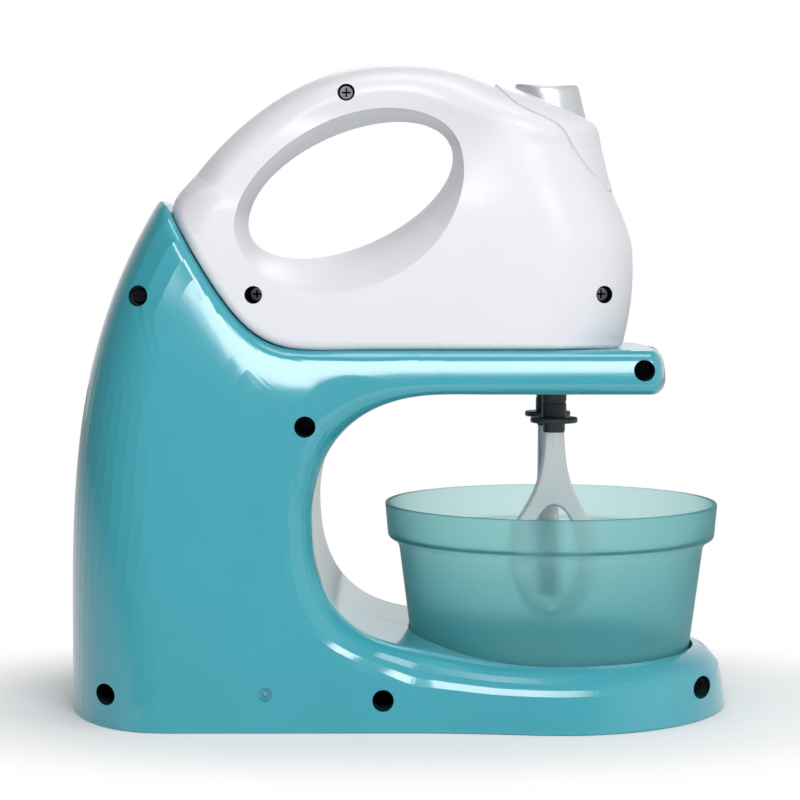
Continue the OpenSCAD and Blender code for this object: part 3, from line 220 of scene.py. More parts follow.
def plate_z(x):
    """The base plate's top, which rises towards the C opening."""
    return BASE_TOP + PLATE_RISE * (1 - clamp((x - PLATE_START) / (PLATE_FLAT - PLATE_START))) ** 1.6


def rim_inset(z):
    """How far the base's rim lies inside its foot, by draft and rounding."""
    return SIDE_DRAFT * z + round_in(BASE_RIM_R, BASE_TOP - z)


def stand_rows():
    """Pairs of an inner and an outer outline point, from the arm's front round the C to the base's front."""
    front = BOWL_X + ARM_REACH
    arm_end = OPEN_UP[0][0]
    rows = []
    for a in ARM_ANGLES:
        x = front - ARM_NOSE * (1 - sind(a))
        c = round_in(ARM_CORNER_R, front - x)
        rows.append(((x, ARM_LOW + c), (x, ARM_TOP - c)))
    for t in steps(ARM_STEPS):
        x = mix(front - ARM_NOSE, arm_end, t)
        rows.append(((x, ARM_LOW), (x, ARM_TOP)))
    rows += [(bez(OPEN_UP, TURN_END * t), (mix(arm_end, CRADLE[0][0], t), ARM_TOP))
             for t in steps(TURN_STEPS)]
    rows += [(bez(OPEN_UP, mix(TURN_END, HORN_END, t ** 0.8)), bez(CRADLE, t)) for t in steps(CRADLE_STEPS)]
    rows += [(bez(OPEN_UP, HORN_END + HORN_SHARE * (k + 1) / (len(TIP_ANGLES) + 1)),
              (TIP_X - 0.7 + TIP_ROUND * cosd(a), TIP_Z - TIP_ROUND + TIP_ROUND * sind(a)))
             for k, a in enumerate(TIP_ANGLES)]
    for t in [0] + steps(BACK_STEPS):
        z = mix(TIP_Z - 2.6, BACK_Z0, t ** 0.85)
        rows.append((bez(OPEN_UP, mix(HORN_END + HORN_SHARE, 1, t)), (back_x(z), z)))
    rows += [(bez(OPEN_DOWN, FOOT_SHARE * t), (REAR_X, mix(BACK_Z0, 0, t))) for t in steps(FOOT_STEPS)]
    rows += [(bez(OPEN_DOWN, FOOT_SHARE + (1 - FOOT_SHARE) * t), (mix(REAR_X, PLATE_START, t ** 1.1), 0))
             for t in steps(FLOOR_STEPS)]
    disc = [BOWL_X + BASE_R * sind(a) for a in DISC_ANGLES]
    plate = [mix(PLATE_START, disc[0], t) for t in steps(PLATE_STEPS + 1)[:-1]]
    rows += [((x, plate_z(x)), (x, 0)) for x in plate + disc]
    rim = [BASE_TOP - BASE_RIM_R * (1 - cosd(a)) for a in RIM_ANGLES]
    rim += [mix(BASE_TOP - BASE_RIM_R, 0, t) for t in RIM_DROPS]
    for z in rim:
        x = BOWL_X + BASE_R - rim_inset(z)
        rows.append(((x, z), (x, 0)))
    return rows


JOIN_A = BOWL_X - 52
JOIN_B = BOWL_X - 8


def disc_y(x, gap):
    return math.sqrt(max(0.0, (BASE_R - gap) ** 2 - (x - BOWL_X) ** 2))


def plan_y(x, gap):
    """Half width of the base in plan: straight sides that run over into the round base."""
    if x <= JOIN_A:
        return STAND_HW - gap
    if x >= JOIN_B:
        return disc_y(x, gap)
    w = JOIN_B - JOIN_A
    t = (x - JOIN_A) / w
    y1 = disc_y(JOIN_B, gap)
    s1 = (BOWL_X - JOIN_B) / y1 * w
    return ((2 * t ** 3 - 3 * t * t + 1) * (STAND_HW - gap) + (3 * t * t - 2 * t ** 3) * y1
            + (t ** 3 - t * t) * s1)


def back_factor(x, z, gap):
    """Share of the half width that the half round back leaves."""
    depth = BACK_DEPTH * (1 - 0.0022 * z) - gap
    return dome((x - back_x(z) - gap + 0.15) / depth)


def arm_front_factor(x, gap):
    """Share of the half width that the arm's rounded front leaves."""
    u = clamp((x - (BOWL_X + ARM_REACH - ARM_NOSE)) / max(0.01, ARM_NOSE - gap), 0, 0.9999)
    return (1 - u ** 2.6) ** (1 / 2.6)


def stand_y(x, z, gap, on_arm):
    """Half width of the stand."""
    inset = gap + SIDE_DRAFT * z
    wide = (STAND_HW - inset) * arm_front_factor(x, gap) if on_arm else plan_y(x, inset)
    return wide * back_factor(x, z, gap)


def stand_edge_a(i, length):
    """Radius of the edge along the inner outline: soft along the C, the base's rim in front."""
    if i < N_ARM:
        r = ARM_EDGE_R
    elif i < N_BACK:
        r = mix(ARM_EDGE_R, 10, clamp((i - N_ARM) / 6))
    elif i < N_PLATE:
        r = mix(10, BASE_RIM_R, (i - N_BACK) / (N_PLATE - N_BACK))
    else:
        r = BASE_RIM_R
    return min(r, 0.42 * length)


def crown(d, depth, rise):
    """Inset of a soft convex crown at the distance d from the edge."""
    return rise * clamp(1 - d / depth) ** 2


def segment_distance(x, z, a, b):
    """Distance of a point from a straight piece of an outline."""
    dx, dz = b[0] - a[0], b[1] - a[1]
    t = clamp(((x - a[0]) * dx + (z - a[1]) * dz) / max(1e-9, dx * dx + dz * dz))
    return math.hypot(x - a[0] - t * dx, z - a[1] - t * dz)


def line_distance(x, z, line, low, high, leap=6):
    """Distance of a point from the outline's pieces low to high, near the closest of every leap-th end."""
    mid = min(range(low, high, leap), key=lambda k: (x - line[k][0]) ** 2 + (z - line[k][1]) ** 2)
    return min(segment_distance(x, z, line[k], line[k + 1])
               for k in range(max(low, mid - leap), min(high, mid + leap)))


def stand_samples(i, row):
    """Roundings at a row's ends, and how far in from its ends the row is sampled finely."""
    length = math.dist(*row)
    ra = max(0.4, stand_edge_a(i, length))
    if i < N_BACK + 2:
        sample_b = min(0.45 * length, 5.0 if i < N_ARM else 9.0)
    elif i < N_FLOOR:
        onset = clamp((i - N_BACK) / 3, 0.25, 1) if i < N_FOOT else 1
        sample_b = min(0.62 * length, BACK_DEPTH * onset)
    else:
        sample_b = min(1.2, 0.3 * length)
    sample_a = min(0.5 * length, 6) if i > N_PLATE + PLATE_STEPS + 4 else min(1.25 * ra, 0.5 * length)
    return ra, sample_a, sample_b


def fine_rows(coarse, times, loop):
    """Rows on smooth curves through the ends of the given ones, each with its place among them."""
    ends = refine([[a, b] for a, b in coarse], times, loop)
    return [(k / times, a, b) for k, (a, b) in enumerate(ends)]


def stand_inset(place, x, z, depth, length, start, near, far):
    """How far the skin lies inside the drafted side at a point of the C behind the arm."""
    turned = smooth((place - N_ARM) / TURN_STEPS)
    corner = smooth((start[1] - ARM_LOW + 48) / 26) * (1 - smooth((start[0] - OPEN_X - 12) / 24)) * turned
    width, rise = (mix(mix(a, b, turned), c, corner) for a, b, c in zip(ARM_CROWN, BODY_CROWN, CORNER_CROWN))
    inset = crown(near, width, rise)
    if place >= N_FOOT:
        return inset + round_in(FOOT_R, length - depth) * clamp(place - N_FOOT)
    wide = mix(16, 28, turned) * mix(1, 0.33, smooth((z - ARM_TOP - 20) / 44))
    room = clamp((x - back_x(min(z, TIP_Z)) - 4) / 16)
    return inset + round_in(ARM_EDGE_R, far) * mix(0.4, 1, room) + crown(far, wide, 0.12 * wide) * room


def stand_surface(times, n, m, n_back):
    """The right half's skin. Its edges are rounded by the true distance from the outlines."""
    coarse = stand_rows()
    rows = fine_rows(coarse, times, False)
    samples = [stand_samples(i, row) for i, row in enumerate(coarse)]
    opening = [a for _, a, _ in rows]
    top = [b for _, _, b in rows]
    apex = times * (N_TIP + 1)
    first = times * (N_ARM - 2)
    last = times * (N_PLATE + PLATE_STEPS)
    grid = []
    for k, (place, a, b) in enumerate(rows):
        i = min(int(place), len(coarse) - 2)
        ra, sample_a, sample_b = (mix(u, v, place - i) for u, v in zip(samples[i], samples[i + 1]))
        length, dx, dz = direction(a, b)
        line = []
        for depth in row_depths(length, sample_a, sample_b, n, m, n_back):
            x, z = a[0] + depth * dx, a[1] + depth * dz
            if place < N_ARM:
                inset = (round_in(ARM_EDGE_R, depth) + round_in(ARM_EDGE_R, length - depth)
                         + crown(depth, *ARM_CROWN) + crown(length - depth, *ARM_TOP_CROWN))
            else:
                if place >= N_PLATE + PLATE_STEPS:
                    near = depth + max(0, BASE_TOP - a[1])
                else:
                    near = 0.0 if depth == 0 else line_distance(x, z, opening, first, last)
                at_edge = place >= N_FOOT or (depth >= length - 1e-9 and k <= apex)
                far = 0.0 if at_edge else line_distance(x, z, top, first, apex)
                inset = round_in(ra, near) + stand_inset(place, x, z, depth, length, a, near, far)
            line.append((x, -max(0.02, stand_y(x, z, inset, place < N_TIP)), max(0.0, z)))
        grid.append(line)
    return grid


# ---------------- mixer housing
SHOULDER = (NOSE_X - 19.5, ARM_TOP + 83.9)
TOP_FRONT = [SHOULDER, (SHOULDER[0] - 39.9, SHOULDER[1] + 18.5), (GRIP_X + 38.6, HEAD_TOP + 0.1),
             (GRIP_X + 16.6, HEAD_TOP + 0.1)]
TOP_REAR = [(GRIP_X + 16.6, HEAD_TOP + 0.1), (GRIP_X - 16.3, HEAD_TOP + 0.1),
            (GRIP_X - 45.8, HEAD_TOP - 22.5), (TIP_X + 4.6, TIP_Z + 0.9)]
FRONT_LOW = NOSE_Z - 26
NOSE_TOP = ARM_TOP + 73.6
CRADLE_SHARE = 0.985
NOSE_STEPS, SHOULDER_STEPS, FRONT_STEPS, REAR_STEPS = 9, 2, 6, 9
SEAT_STEPS, SOLE_STEPS, TOE_STEPS, TOE_R = 7, 5, 3, 4
H_TOP = NOSE_STEPS + SHOULDER_STEPS
H_REAR = H_TOP + FRONT_STEPS
H_SEAT = H_REAR + REAR_STEPS + 1
H_SOLE = H_SEAT + SEAT_STEPS
N_HEAD = H_SOLE + 1 + SOLE_STEPS + TOE_STEPS


def nose_at(z):
    """The nose in side view: a soft curve below, and two nearly straight lines above."""
    h = z - NOSE_Z
    if h < 0:
        return NOSE_X - 0.0048 * h * h
    lean = 0.185 * (math.hypot(h - 9, 3.5) + h - 9.66) - 0.08 * max(0, h - 30.6)
    return NOSE_X - lean - 0.9 * smooth((h - 18) / 14)


def grip_point(a, off):
    """A point of the handle opening at the angle a of its tilted ellipse, grown by off."""
    u, v = (GRIP_A + off) * cosd(a), (GRIP_B + off) * sind(a)
    return (GRIP_X + u * cosd(GRIP_TILT) - v * sind(GRIP_TILT),
            GRIP_Z + u * sind(GRIP_TILT) + v * cosd(GRIP_TILT))


def head_rows(off=0.0):
    """Pairs of a point on the handle opening and one on the outline, from the nose round to the toe."""
    toe_x, toe_z = nose_at(FRONT_LOW) - TOE_R, ARM_TOP + TOE_R

    def nose(t):
        z = mix(FRONT_LOW, NOSE_TOP, t)
        return (nose_at(z) - off, z)

    def shoulder(t):
        a, c = nose(1), bez_off(TOP_FRONT, 0, off)
        return c if t == 1 else (mix(a[0], c[0], 0.4), mix(a[1], c[1], 0.72))

    def seat(t):
        share = CRADLE_SHARE * (1 - t)
        return bez_off(CRADLE, share, -off - CRADLE_GAP * clamp(4 * share))
    parts = [(308, 350, [0] + steps(NOSE_STEPS), nose),
             (350, 359, steps(SHOULDER_STEPS), shoulder),
             (359, 418, steps(FRONT_STEPS), lambda t: bez_off(TOP_FRONT, t, off)),
             (418, 520, steps(REAR_STEPS), lambda t: bez_off(TOP_REAR, t, off)),
             (526, 592, [0] + steps(SEAT_STEPS), seat),
             (592, 658, steps(SOLE_STEPS), lambda t: (mix(CRADLE[0][0], toe_x, t), ARM_TOP + off)),
             (658, 668, steps(TOE_STEPS + 1)[:-1], lambda t: (toe_x + (TOE_R - off) * sind(90 * t),
                                                              toe_z - (TOE_R - off) * cosd(90 * t)))]
    return [(grip_point(mix(start, end, t), off), outline(t))
            for start, end, shares, outline in parts for t in shares]


def handle_share(x, z):
    """1 on the narrow handle, 0 on the body."""
    return smooth((z - ARM_TOP - 50) / 38) * (1 - smooth((x - GRIP_X - 22) / 40))


def nose_line(z):
    """The nose as the widths see it, which goes on over the shoulder."""
    return nose_at(max(z, FRONT_LOW)) + 2.6 * smooth((z - NOSE_TOP) / 7)


def head_y(x, z, off=0.0):
    """Half width of the mixer's body."""
    body = STAND_HW - SIDE_DRAFT * z - LEDGE
    rear = back_x(min(z, TIP_Z)) + 2
    nose = dome((nose_line(z) - off + 0.15 - x) / (NOSE_ROUND - off))
    tail = dome((x - rear - off) / (0.62 * BACK_DEPTH))
    return (mix(body, HANDLE_HW, handle_share(x, z)) - off) * nose * tail


def bump(a, mid, rate):
    """Share of a soft bump about the angle mid, which fades out at 90 / rate degrees to either side."""
    d = rate * ((a - mid + 540) % 360 - 180)
    return cosd(d) ** 2 if abs(d) < 90 else 0.0


def lip_depth(p):
    """Depth of the opening's wall in side view, at the opening's point p."""
    x, z = p[0] - GRIP_X, p[1] - GRIP_Z
    u = x * cosd(GRIP_TILT) + z * sind(GRIP_TILT)
    v = z * cosd(GRIP_TILT) - x * sind(GRIP_TILT)
    a = math.degrees(math.atan2(v / GRIP_B, u / GRIP_A))
    return 2.4 + 13.6 * bump(a, 260, 0.9) + 2.5 * bump(a, 80, 1.2)


def edge_share(i):
    """Share of the half width lost at the outline, row by row."""
    if i < H_TOP - 1:
        return 0
    if i < H_TOP + 2:
        return mix(0, 0.97, (i - H_TOP + 2) / 4)
    return 0.97 if i < H_SEAT - 1 else 0.3 if i < H_SEAT + 1 else 0.09


def edge_depth(i):
    """Depth of the rounding at the outline, row by row."""
    if i < H_TOP - 1:
        return 2
    if i <= H_REAR:
        return mix(22, 12.2, smooth((i - H_TOP) / FRONT_STEPS))
    return 12.2 if i < H_SEAT - 1 else 5 if i < H_SEAT + 1 else HEAD_EDGE_R


def lip_share(u):
    """Share of the half width on the opening's wall, from the parting plane out to its crisp outer edge."""
    return 0.03 + 0.97 * (1 - (1 - clamp(u)) ** 1.25) ** 0.8


def head_samples(i, row):
    """Depth of the outline's rounding, the sampled depth, and the share of the half width lost."""
    length = math.dist(*row)
    db = max(0.8, edge_depth(i))
    in_front = min(NOSE_ROUND, 0.5 * length)
    if i < H_TOP - 1:
        sample_b = in_front
    else:
        sample_b = max(db, min(NOSE_ROUND * smooth((i - H_SOLE) / (N_HEAD - H_SOLE)), 0.5 * length))
    share = HEAD_EDGE_R / (STAND_HW - SIDE_DRAFT * ARM_TOP) if i >= H_SOLE else edge_share(i)
    return db, sample_b, share


def head_surface(times, n, m, n_nose):
    """The right half's skin, in closed rows round the handle opening."""
    coarse = head_rows()
    samples = [head_samples(i, row) for i, row in enumerate(coarse)]
    grid = []
    for place, a, b in fine_rows(coarse, times, True):
        i = int(place)
        after = samples[(i + 1) % len(samples)]
        db, sample_b, share = (mix(u, v, place - i) for u, v in zip(samples[i], after))
        length, dx, dz = direction(a, b)
        lip = max(1, min(lip_depth(a), 0.45 * length))
        lip_part = [lip * (1 - cosd(180 * k / n)) / 2 for k in range(n)]
        rest = row_depths(length - lip, 1.5, sample_b, 3, m, n_nose)
        line = []
        for depth in lip_part + [lip + v for v in rest]:
            x, z = a[0] + depth * dx, a[1] + depth * dz
            y = head_y(x, z) * lip_share(depth / lip) * (1 - share * (1 - dome((length - depth) / db)))
            line.append((x, -max(0.3, y), z))
        grid.append(line)
    return grid


# ---------------- grids to meshes
def spline(points, t):
    """Centripetal Catmull-Rom between the second and the third of four points."""
    knots = [0.0]
    for a, b in zip(points, points[1:]):
        knots.append(knots[-1] + max(1e-4, math.dist(a, b) ** 0.5))
    place = mix(knots[1], knots[2], t)
    for spans in (((0, 1), (1, 2), (2, 3)), ((0, 2), (1, 3)), ((1, 2),)):
        shares = [(place - knots[i]) / (knots[j] - knots[i]) for i, j in spans]
        points = [tuple(mix(x, y, w) for x, y in zip(a, b)) for a, b, w in zip(points, points[1:], shares)]
    return points[0]


def beyond(first, second):
    """The row that goes on straight from the second over the first."""
    return [tuple(2 * a - b for a, b in zip(p, q)) for p, q in zip(first, second)]


def refine(grid, times, loop):
    """More rows, on smooth curves through the given ones."""
    if loop:
        padded = grid[-1:] + grid + grid[:2]
    else:
        padded = [beyond(grid[0], grid[1])] + grid + [beyond(grid[-1], grid[-2])]
    out = []
    for k in range(len(padded) - 3):
        out.append(list(padded[k + 1]))
        out += [[spline(p, t) for p in zip(*padded[k:k + 4])] for t in steps(times)[:-1]]
    return out if loop else out + [list(grid[-1])]


def with_seam(grid):
    """Adds the groove at the parting plane to both ends of each row."""
    out = []
    for line in grid:
        (ax, _, az), (bx, _, bz) = line[0], line[-1]
        dx, dz = (SEAM * d for d in direction((ax, az), (bx, bz))[1:])
        out.append([(ax + dx, 0.0, az + dz), (ax, -0.6 * SEAM, az)]
                   + [(x, min(y, -0.7 * SEAM), z) for x, y, z in line]
                   + [(bx, -0.6 * SEAM, bz), (bx - dx, 0.0, bz - dz)])
    return out


def new_object(name, data):
    """An object of the scene from a mesh, a lamp or a camera."""
    obj = bpy.data.objects.new(name, data)
    bpy.context.scene.collection.objects.link(obj)
    return obj


def mesh_object(name, points, faces, material, side=1):
    """An object from points in millimetres; side -1 mirrors it to the left half."""
    mesh = bpy.data.meshes.new(name)
    mesh.from_pydata([(x * MM, side * y * MM, z * MM) for x, y, z in points], [],
                     [f if side > 0 else f[::-1] for f in faces])
    mesh.polygons.foreach_set("use_smooth", [True] * len(mesh.polygons))
    mesh.materials.append(material)
    mesh.update()
    return new_object(name, mesh)


def grid_faces(rows, cols, loop, closed=False):
    """Faces between a grid's rows. The last row may join the first, and closed strips join their ends."""
    faces = []
    for i in range(rows if loop else rows - 1):
        a, b = i * cols, (i + 1) % rows * cols
        faces += [(a + j, b + j, b + j + 1, a + j + 1) for j in range(cols - 1)]
        if closed:
            faces.append((a, a + cols - 1, b + cols - 1, b))
    return faces


def half_solid(name, grid, side, loop, material):
    """A closed half: the grid's skin, the flat parting face and, where the rows don't loop, both ends."""
    rows, cols = len(grid), len(grid[0])
    faces = grid_faces(rows, cols, loop, closed=True)
    if not loop:
        faces.append(tuple(range(cols)))
        faces.append(tuple(range(rows * cols - 1, (rows - 1) * cols - 1, -1)))
    return mesh_object(name, [p for line in grid for p in line], faces, material, side)


def modify(obj, kind, applied=True, **options):
    """Gives an object a modifier and, as a rule, applies it to the mesh."""
    mod = obj.modifiers.new(kind.lower(), kind)
    for key, value in options.items():
        setattr(mod, key, value)
    if applied:
        bpy.ops.object.select_all(action="DESELECT")
        obj.select_set(True)
        bpy.context.view_layer.objects.active = obj
        bpy.ops.object.modifier_apply(modifier=mod.name)


def cut(obj, cutters):
    """Boolean cuts, one after the other. Cut faces take the cutter's material."""
    for cutter in cutters:
        modify(obj, "BOOLEAN", operation="DIFFERENCE", solver="EXACT", object=cutter, material_mode="TRANSFER")
    for cutter in cutters:
        bpy.data.objects.remove(cutter)


def ring_sides(levels, n):
    """Faces between rings of n points that lie one after the other."""
    return [(a + k, a + (k + 1) % n, a + n + (k + 1) % n, a + n + k)
            for a in range(0, (levels - 1) * n, n) for k in range(n)]


def tube(name, rings, material):
    """A closed solid through rings of equally many points, each above the one before."""
    levels, n = len(rings), len(rings[0])
    caps = [tuple(range(n - 1, -1, -1)), tuple(range((levels - 1) * n, levels * n))]
    return mesh_object(name, [p for ring in rings for p in ring], ring_sides(levels, n) + caps, material)


def circle(x, y, r, segments=96):
    return [(x + r * cosd(360 * k / segments), y + r * sind(360 * k / segments)) for k in range(segments)]


def cylinder_y(name, x, z, r, y_near, y_far, material, segments=64):
    """A closed cylinder along Y."""
    rings = [[(px, y, pz) for px, pz in circle(x, z, r, segments)] for y in (y_near, y_far)]
    obj = tube(name, rings, material)
    obj.data.flip_normals()
    return obj


def prism_z(name, outline, z_low, z_high, material):
    """A closed upright prism over an outline that runs counterclockwise seen from above."""
    return tube(name, [[(x, y, z) for x, y in outline] for z in (z_low, z_high)], material)


def stadium(x, r, y_c, arc_steps=24):
    """An outline of two half circles of radius r about (x, -y_c) and (x, y_c)."""
    return [(x + r * cosd(start + 180 * k / arc_steps), y + r * sind(start + 180 * k / arc_steps))
            for start, y in ((0, y_c), (180, -y_c)) for k in range(arc_steps + 1)]


def lathe(name, profile, x, y, segments, material):
    """A surface of revolution about an upright axis. The profile runs round the closed section."""
    points = [(x + r * cosd(360 * k / segments), y + r * sind(360 * k / segments), z)
              for k in range(segments) for r, z in profile]
    obj = mesh_object(name, points, grid_faces(segments, len(profile), True), material)
    bm = bmesh.new()
    bm.from_mesh(obj.data)
    bmesh.ops.remove_doubles(bm, verts=bm.verts, dist=1e-6)
    bmesh.ops.recalc_face_normals(bm, faces=bm.faces)
    bm.to_mesh(obj.data)
    bm.free()
    return obj


def rounded(corners, count=5):
    """A profile whose corners (r, z, radius) are rounded off."""
    out = []
    for k, (r, z, rad) in enumerate(corners):
        if rad == 0 or k in (0, len(corners) - 1):
            out.append((r, z))
            continue
        ends = [corners[k - 1], corners[k + 1]]
        lengths = [math.dist((r, z), end[:2]) for end in ends]
        reach = min(rad, *(0.45 * length for length in lengths))
        p, q = ((mix(r, end[0], reach / length), mix(z, end[1], reach / length))
                for end, length in zip(ends, lengths))
        for t in [0] + steps(count):
            out.append(tuple((1 - t) ** 2 * u + 2 * t * (1 - t) * v + t * t * w
                             for u, v, w in zip(p, (r, z), q)))
    return out


def smooth_by_angle(obj, degrees):
    """Smooth shading with sharp edges where faces meet at more than the angle."""
    obj.data.set_sharp_from_angle(angle=math.radians(degrees))


SKIN_REACH = 0.05 * MM      # how near a face lies to the uncut skin that it is part of


def finish_skin(obj, source):
    """Shades a cut skin: on the outer surface the normals of the uncut skin, elsewhere the faces' own."""
    tree = BVHTree.FromObject(source, bpy.context.evaluated_depsgraph_get())
    src, own = source.data, obj.data
    corner_normals = [Vector(c.vector) for c in src.corner_normals]

    def skin_normal(co, face_normal):
        near, _, index, dist = tree.find_nearest(co)
        if near is None or dist > SKIN_REACH or src.polygons[index].normal.dot(face_normal) < 0.6:
            return None
        face = src.polygons[index]
        weights = [1 / max(1e-9, (near - src.vertices[k].co).length) ** 2 for k in face.vertices]
        total = sum(weights)
        n = Vector((0, 0, 0))
        for w, loop in zip(weights, face.loop_indices):
            n += corner_normals[loop] * (w / total)
        return n.normalized()

    normals = []
    for poly in own.polygons:
        found = [skin_normal(own.vertices[v].co, poly.normal) for v in poly.vertices]
        normals += [Vector(poly.normal)] * len(found) if any(n is None for n in found) else found
    own.normals_split_custom_set(normals)
    bpy.data.objects.remove(source)


# ---------------- materials
def feed(tree, n, inputs):
    """Gives a node's inputs, by name or number, their values or the sockets that drive them."""
    for key, value in inputs.items():
        if isinstance(value, bpy.types.NodeSocket):
            tree.links.new(value, n.inputs[key])
        else:
            n.inputs[key].default_value = value
    return n


def node(tree, kind, inputs, **options):
    n = tree.nodes.new("ShaderNode" + kind)
    for key, value in options.items():
        setattr(n, key, value)
    return feed(tree, n, inputs)


def noise(tree, vector, scale, detail, roughness, distortion=0.0):
    return node(tree, "TexNoise", {"Vector": vector, "Scale": scale, "Detail": detail,
                                   "Roughness": roughness, "Distortion": distortion}).outputs["Fac"]


def spread(tree, value, to, span=(0.0, 1.0), **options):
    """The value, mapped from its span to the range given first."""
    return node(tree, "MapRange", {"Value": value, "From Min": span[0], "From Max": span[1],
                                   "To Min": to[0], "To Max": to[1]}, **options).outputs["Result"]


def combine(tree, operation, *values):
    return node(tree, "Math", dict(enumerate(values)), operation=operation).outputs["Value"]


def blend(tree, share, first, second):
    return node(tree, "MixShader", {0: share, 1: first, 2: second}).outputs["Shader"]


def pigment(tree, share, light, dark):
    return node(tree, "Mix", {"A": linear(dark), "B": linear(light), "Factor": share},
                data_type="RGBA").outputs["Result"]


def relief(tree, height, strength, distance):
    bumps = node(tree, "Bump", {"Height": height, "Strength": strength, "Distance": distance})
    return bumps.outputs["Normal"]


def axes_of(tree):
    """The three parts of the place in the object's box, or of the direction in the world."""
    coord = node(tree, "TexCoord", {})
    return node(tree, "SeparateXYZ", {"Vector": coord.outputs["Generated"]}).outputs


def new_material(name):
    mat = bpy.data.materials.new(name)
    mat.use_nodes = True
    return mat, mat.node_tree, mat.node_tree.nodes["Principled BSDF"]


def linear(hex_colour):
    """A hex colour as Blender's linear RGBA."""
    out = []
    for k in (0, 2, 4):
        c = int(hex_colour[k:k + 2], 16) / 255
        out.append(c / 12.92 if c <= 0.04045 else ((c + 0.055) / 1.055) ** 2.4)
    return (*out, 1.0)


def moulded(name, light, dark, roughness, grain=900.0, bump=0.05, metallic=0.0, coat=0.0, ripple=0.0):
    """Moulded plastic: slow colour drift of the pigment, fine mould texture, handling haze in the gloss."""
    mat, tree, shader = new_material(name)
    at = node(tree, "TexCoord", {}).outputs["Object"]
    waves, texture = noise(tree, at, 30.0, 1.0, 0.4), noise(tree, at, grain, 2.0, 0.5)
    height = combine(tree, "MULTIPLY_ADD", waves, ripple, texture)
    feed(tree, shader, {
        "Base Color": pigment(tree, noise(tree, at, 14.0, 3.0, 0.6), light, dark),
        "Roughness": spread(tree, noise(tree, at, 38.0, 4.0, 0.65, 0.4), (0.9 * roughness, 1.18 * roughness),
                            (0.35, 0.7)),
        "Normal": relief(tree, height, bump, 0.0002),
        "Metallic": metallic, "Coat Weight": coat, "Coat Roughness": 0.08})
    return mat


def brushed(name, light, dark, roughness, stretch=(40.0, 40.0, 40.0), metallic=1.0):
    """Metal with fine drawn lines and a little tarnish."""
    mat, tree, shader = new_material(name)
    at = node(tree, "TexCoord", {}).outputs["Object"]
    drawn = node(tree, "Mapping", {"Vector": at, "Scale": stretch}).outputs["Vector"]
    lines = noise(tree, drawn, 18.0, 5.0, 0.7)
    feed(tree, shader, {
        "Base Color": pigment(tree, lines, light, dark),
        "Roughness": spread(tree, lines, (0.7 * roughness, 1.3 * roughness)),
        "Normal": relief(tree, lines, 0.12, 0.0001),
        "Metallic": metallic})
    return mat


def frosted(name, light, dark, roughness):
    """Translucent moulded plastic: a thin cloudy tint, clearer near the rim and where it is seen head on."""
    mat = moulded(name, light, dark, roughness, grain=1400.0, bump=0.03, coat=0.5)
    tree = mat.node_tree
    clear = node(tree, "BsdfRefraction", {"Color": linear("EAF9F8"), "Roughness": 0.3, "IOR": 1.3})
    glow = node(tree, "BsdfTranslucent", {"Color": linear("8FD0CE")})
    facing = node(tree, "LayerWeight", {"Blend": 0.35})
    clearness = combine(tree, "MULTIPLY", spread(tree, facing.outputs["Facing"], (0.88, 0.38)),
                        spread(tree, axes_of(tree)["Z"], (0.56, 1.0), (0.0, 0.8)))
    body = blend(tree, 0.45, tree.nodes["Principled BSDF"].outputs["BSDF"], glow.outputs["BSDF"])
    surface = blend(tree, clearness, body, clear.outputs["BSDF"])
    feed(tree, tree.nodes["Material Output"], {"Surface": surface})
    return mat


TEAL = moulded("teal_abs", "49ABBA", "40A0B0", 0.13, ripple=0.8, bump=0.03, coat=0.6)
# Painted shade: a near-black teal for the walls of the stand's screw wells, where shadow falls.
TEAL_WELL_SHADE = moulded("teal_well_painted_shade", "0E343B", "0A2A30", 0.55)
WHITE = moulded("white_abs", "E4E5EA", "DFE0E6", 0.33, ripple=0.8, bump=0.025)
# Painted shade: a darker, slightly rougher white for the faces inside the socket bores, door bay and button
# way, where shade falls.
WHITE_INSIDE_SHADE = moulded("white_inside_painted_shade", "C9CAD0", "BFC0C7", 0.4)
# Painted shade: a near-black grey in place of the white ABS, for the walls of the mixer's screw wells, where
# shadow falls.
WHITE_WELL_SHADE = moulded("white_well_painted_shade", "2E2F32", "26272A", 0.6)
FROSTED = frosted("frosted_teal", "78D3DE", "6AC8D6", 0.33)
BLACK = moulded("black_plastic", "2E3337", "23282C", 0.38, grain=1600.0, bump=0.12)
SILVER = moulded("silver_paint", "DADCDF", "C8CBCF", 0.36, grain=3200.0, bump=0.16, metallic=0.5)
WHISK_SILVER = moulded("silver_paint_whisk", "D6D9DB", "C4C8CB", 0.38, grain=3200.0, bump=0.16, metallic=0.35)
STEEL = brushed("screw_steel", "C2C4C8", "8E9196", 0.3)
# Painted shade: the dark material of the bars that stand for the shadow in the screws' cross recesses.
RECESS_SHADE = brushed("screw_recess_painted_shade", "1C1D1F", "101112", 0.6, metallic=0.2)
OXIDE = brushed("screw_black_oxide", "2B2D30", "17181A", 0.45)
BRASS = brushed("contact_brass", "D9C48A", "B09A5E", 0.3, stretch=(6.0, 6.0, 300.0))
CAN = brushed("motor_can", "B9BCC0", "93979C", 0.32, stretch=(300.0, 6.0, 6.0))
JACKET = moulded("cell_jacket", "4F8A4A", "3F7A3C", 0.25, grain=300.0, bump=0.03, metallic=0.3)
SHEATH = moulded("wire_sheath", "A22B25", "8C211C", 0.4, grain=500.0, bump=0.1)
GEAR = moulded("gear_nylon", "E9E6DC", "DDD9CC", 0.42, grain=1200.0, bump=0.1)


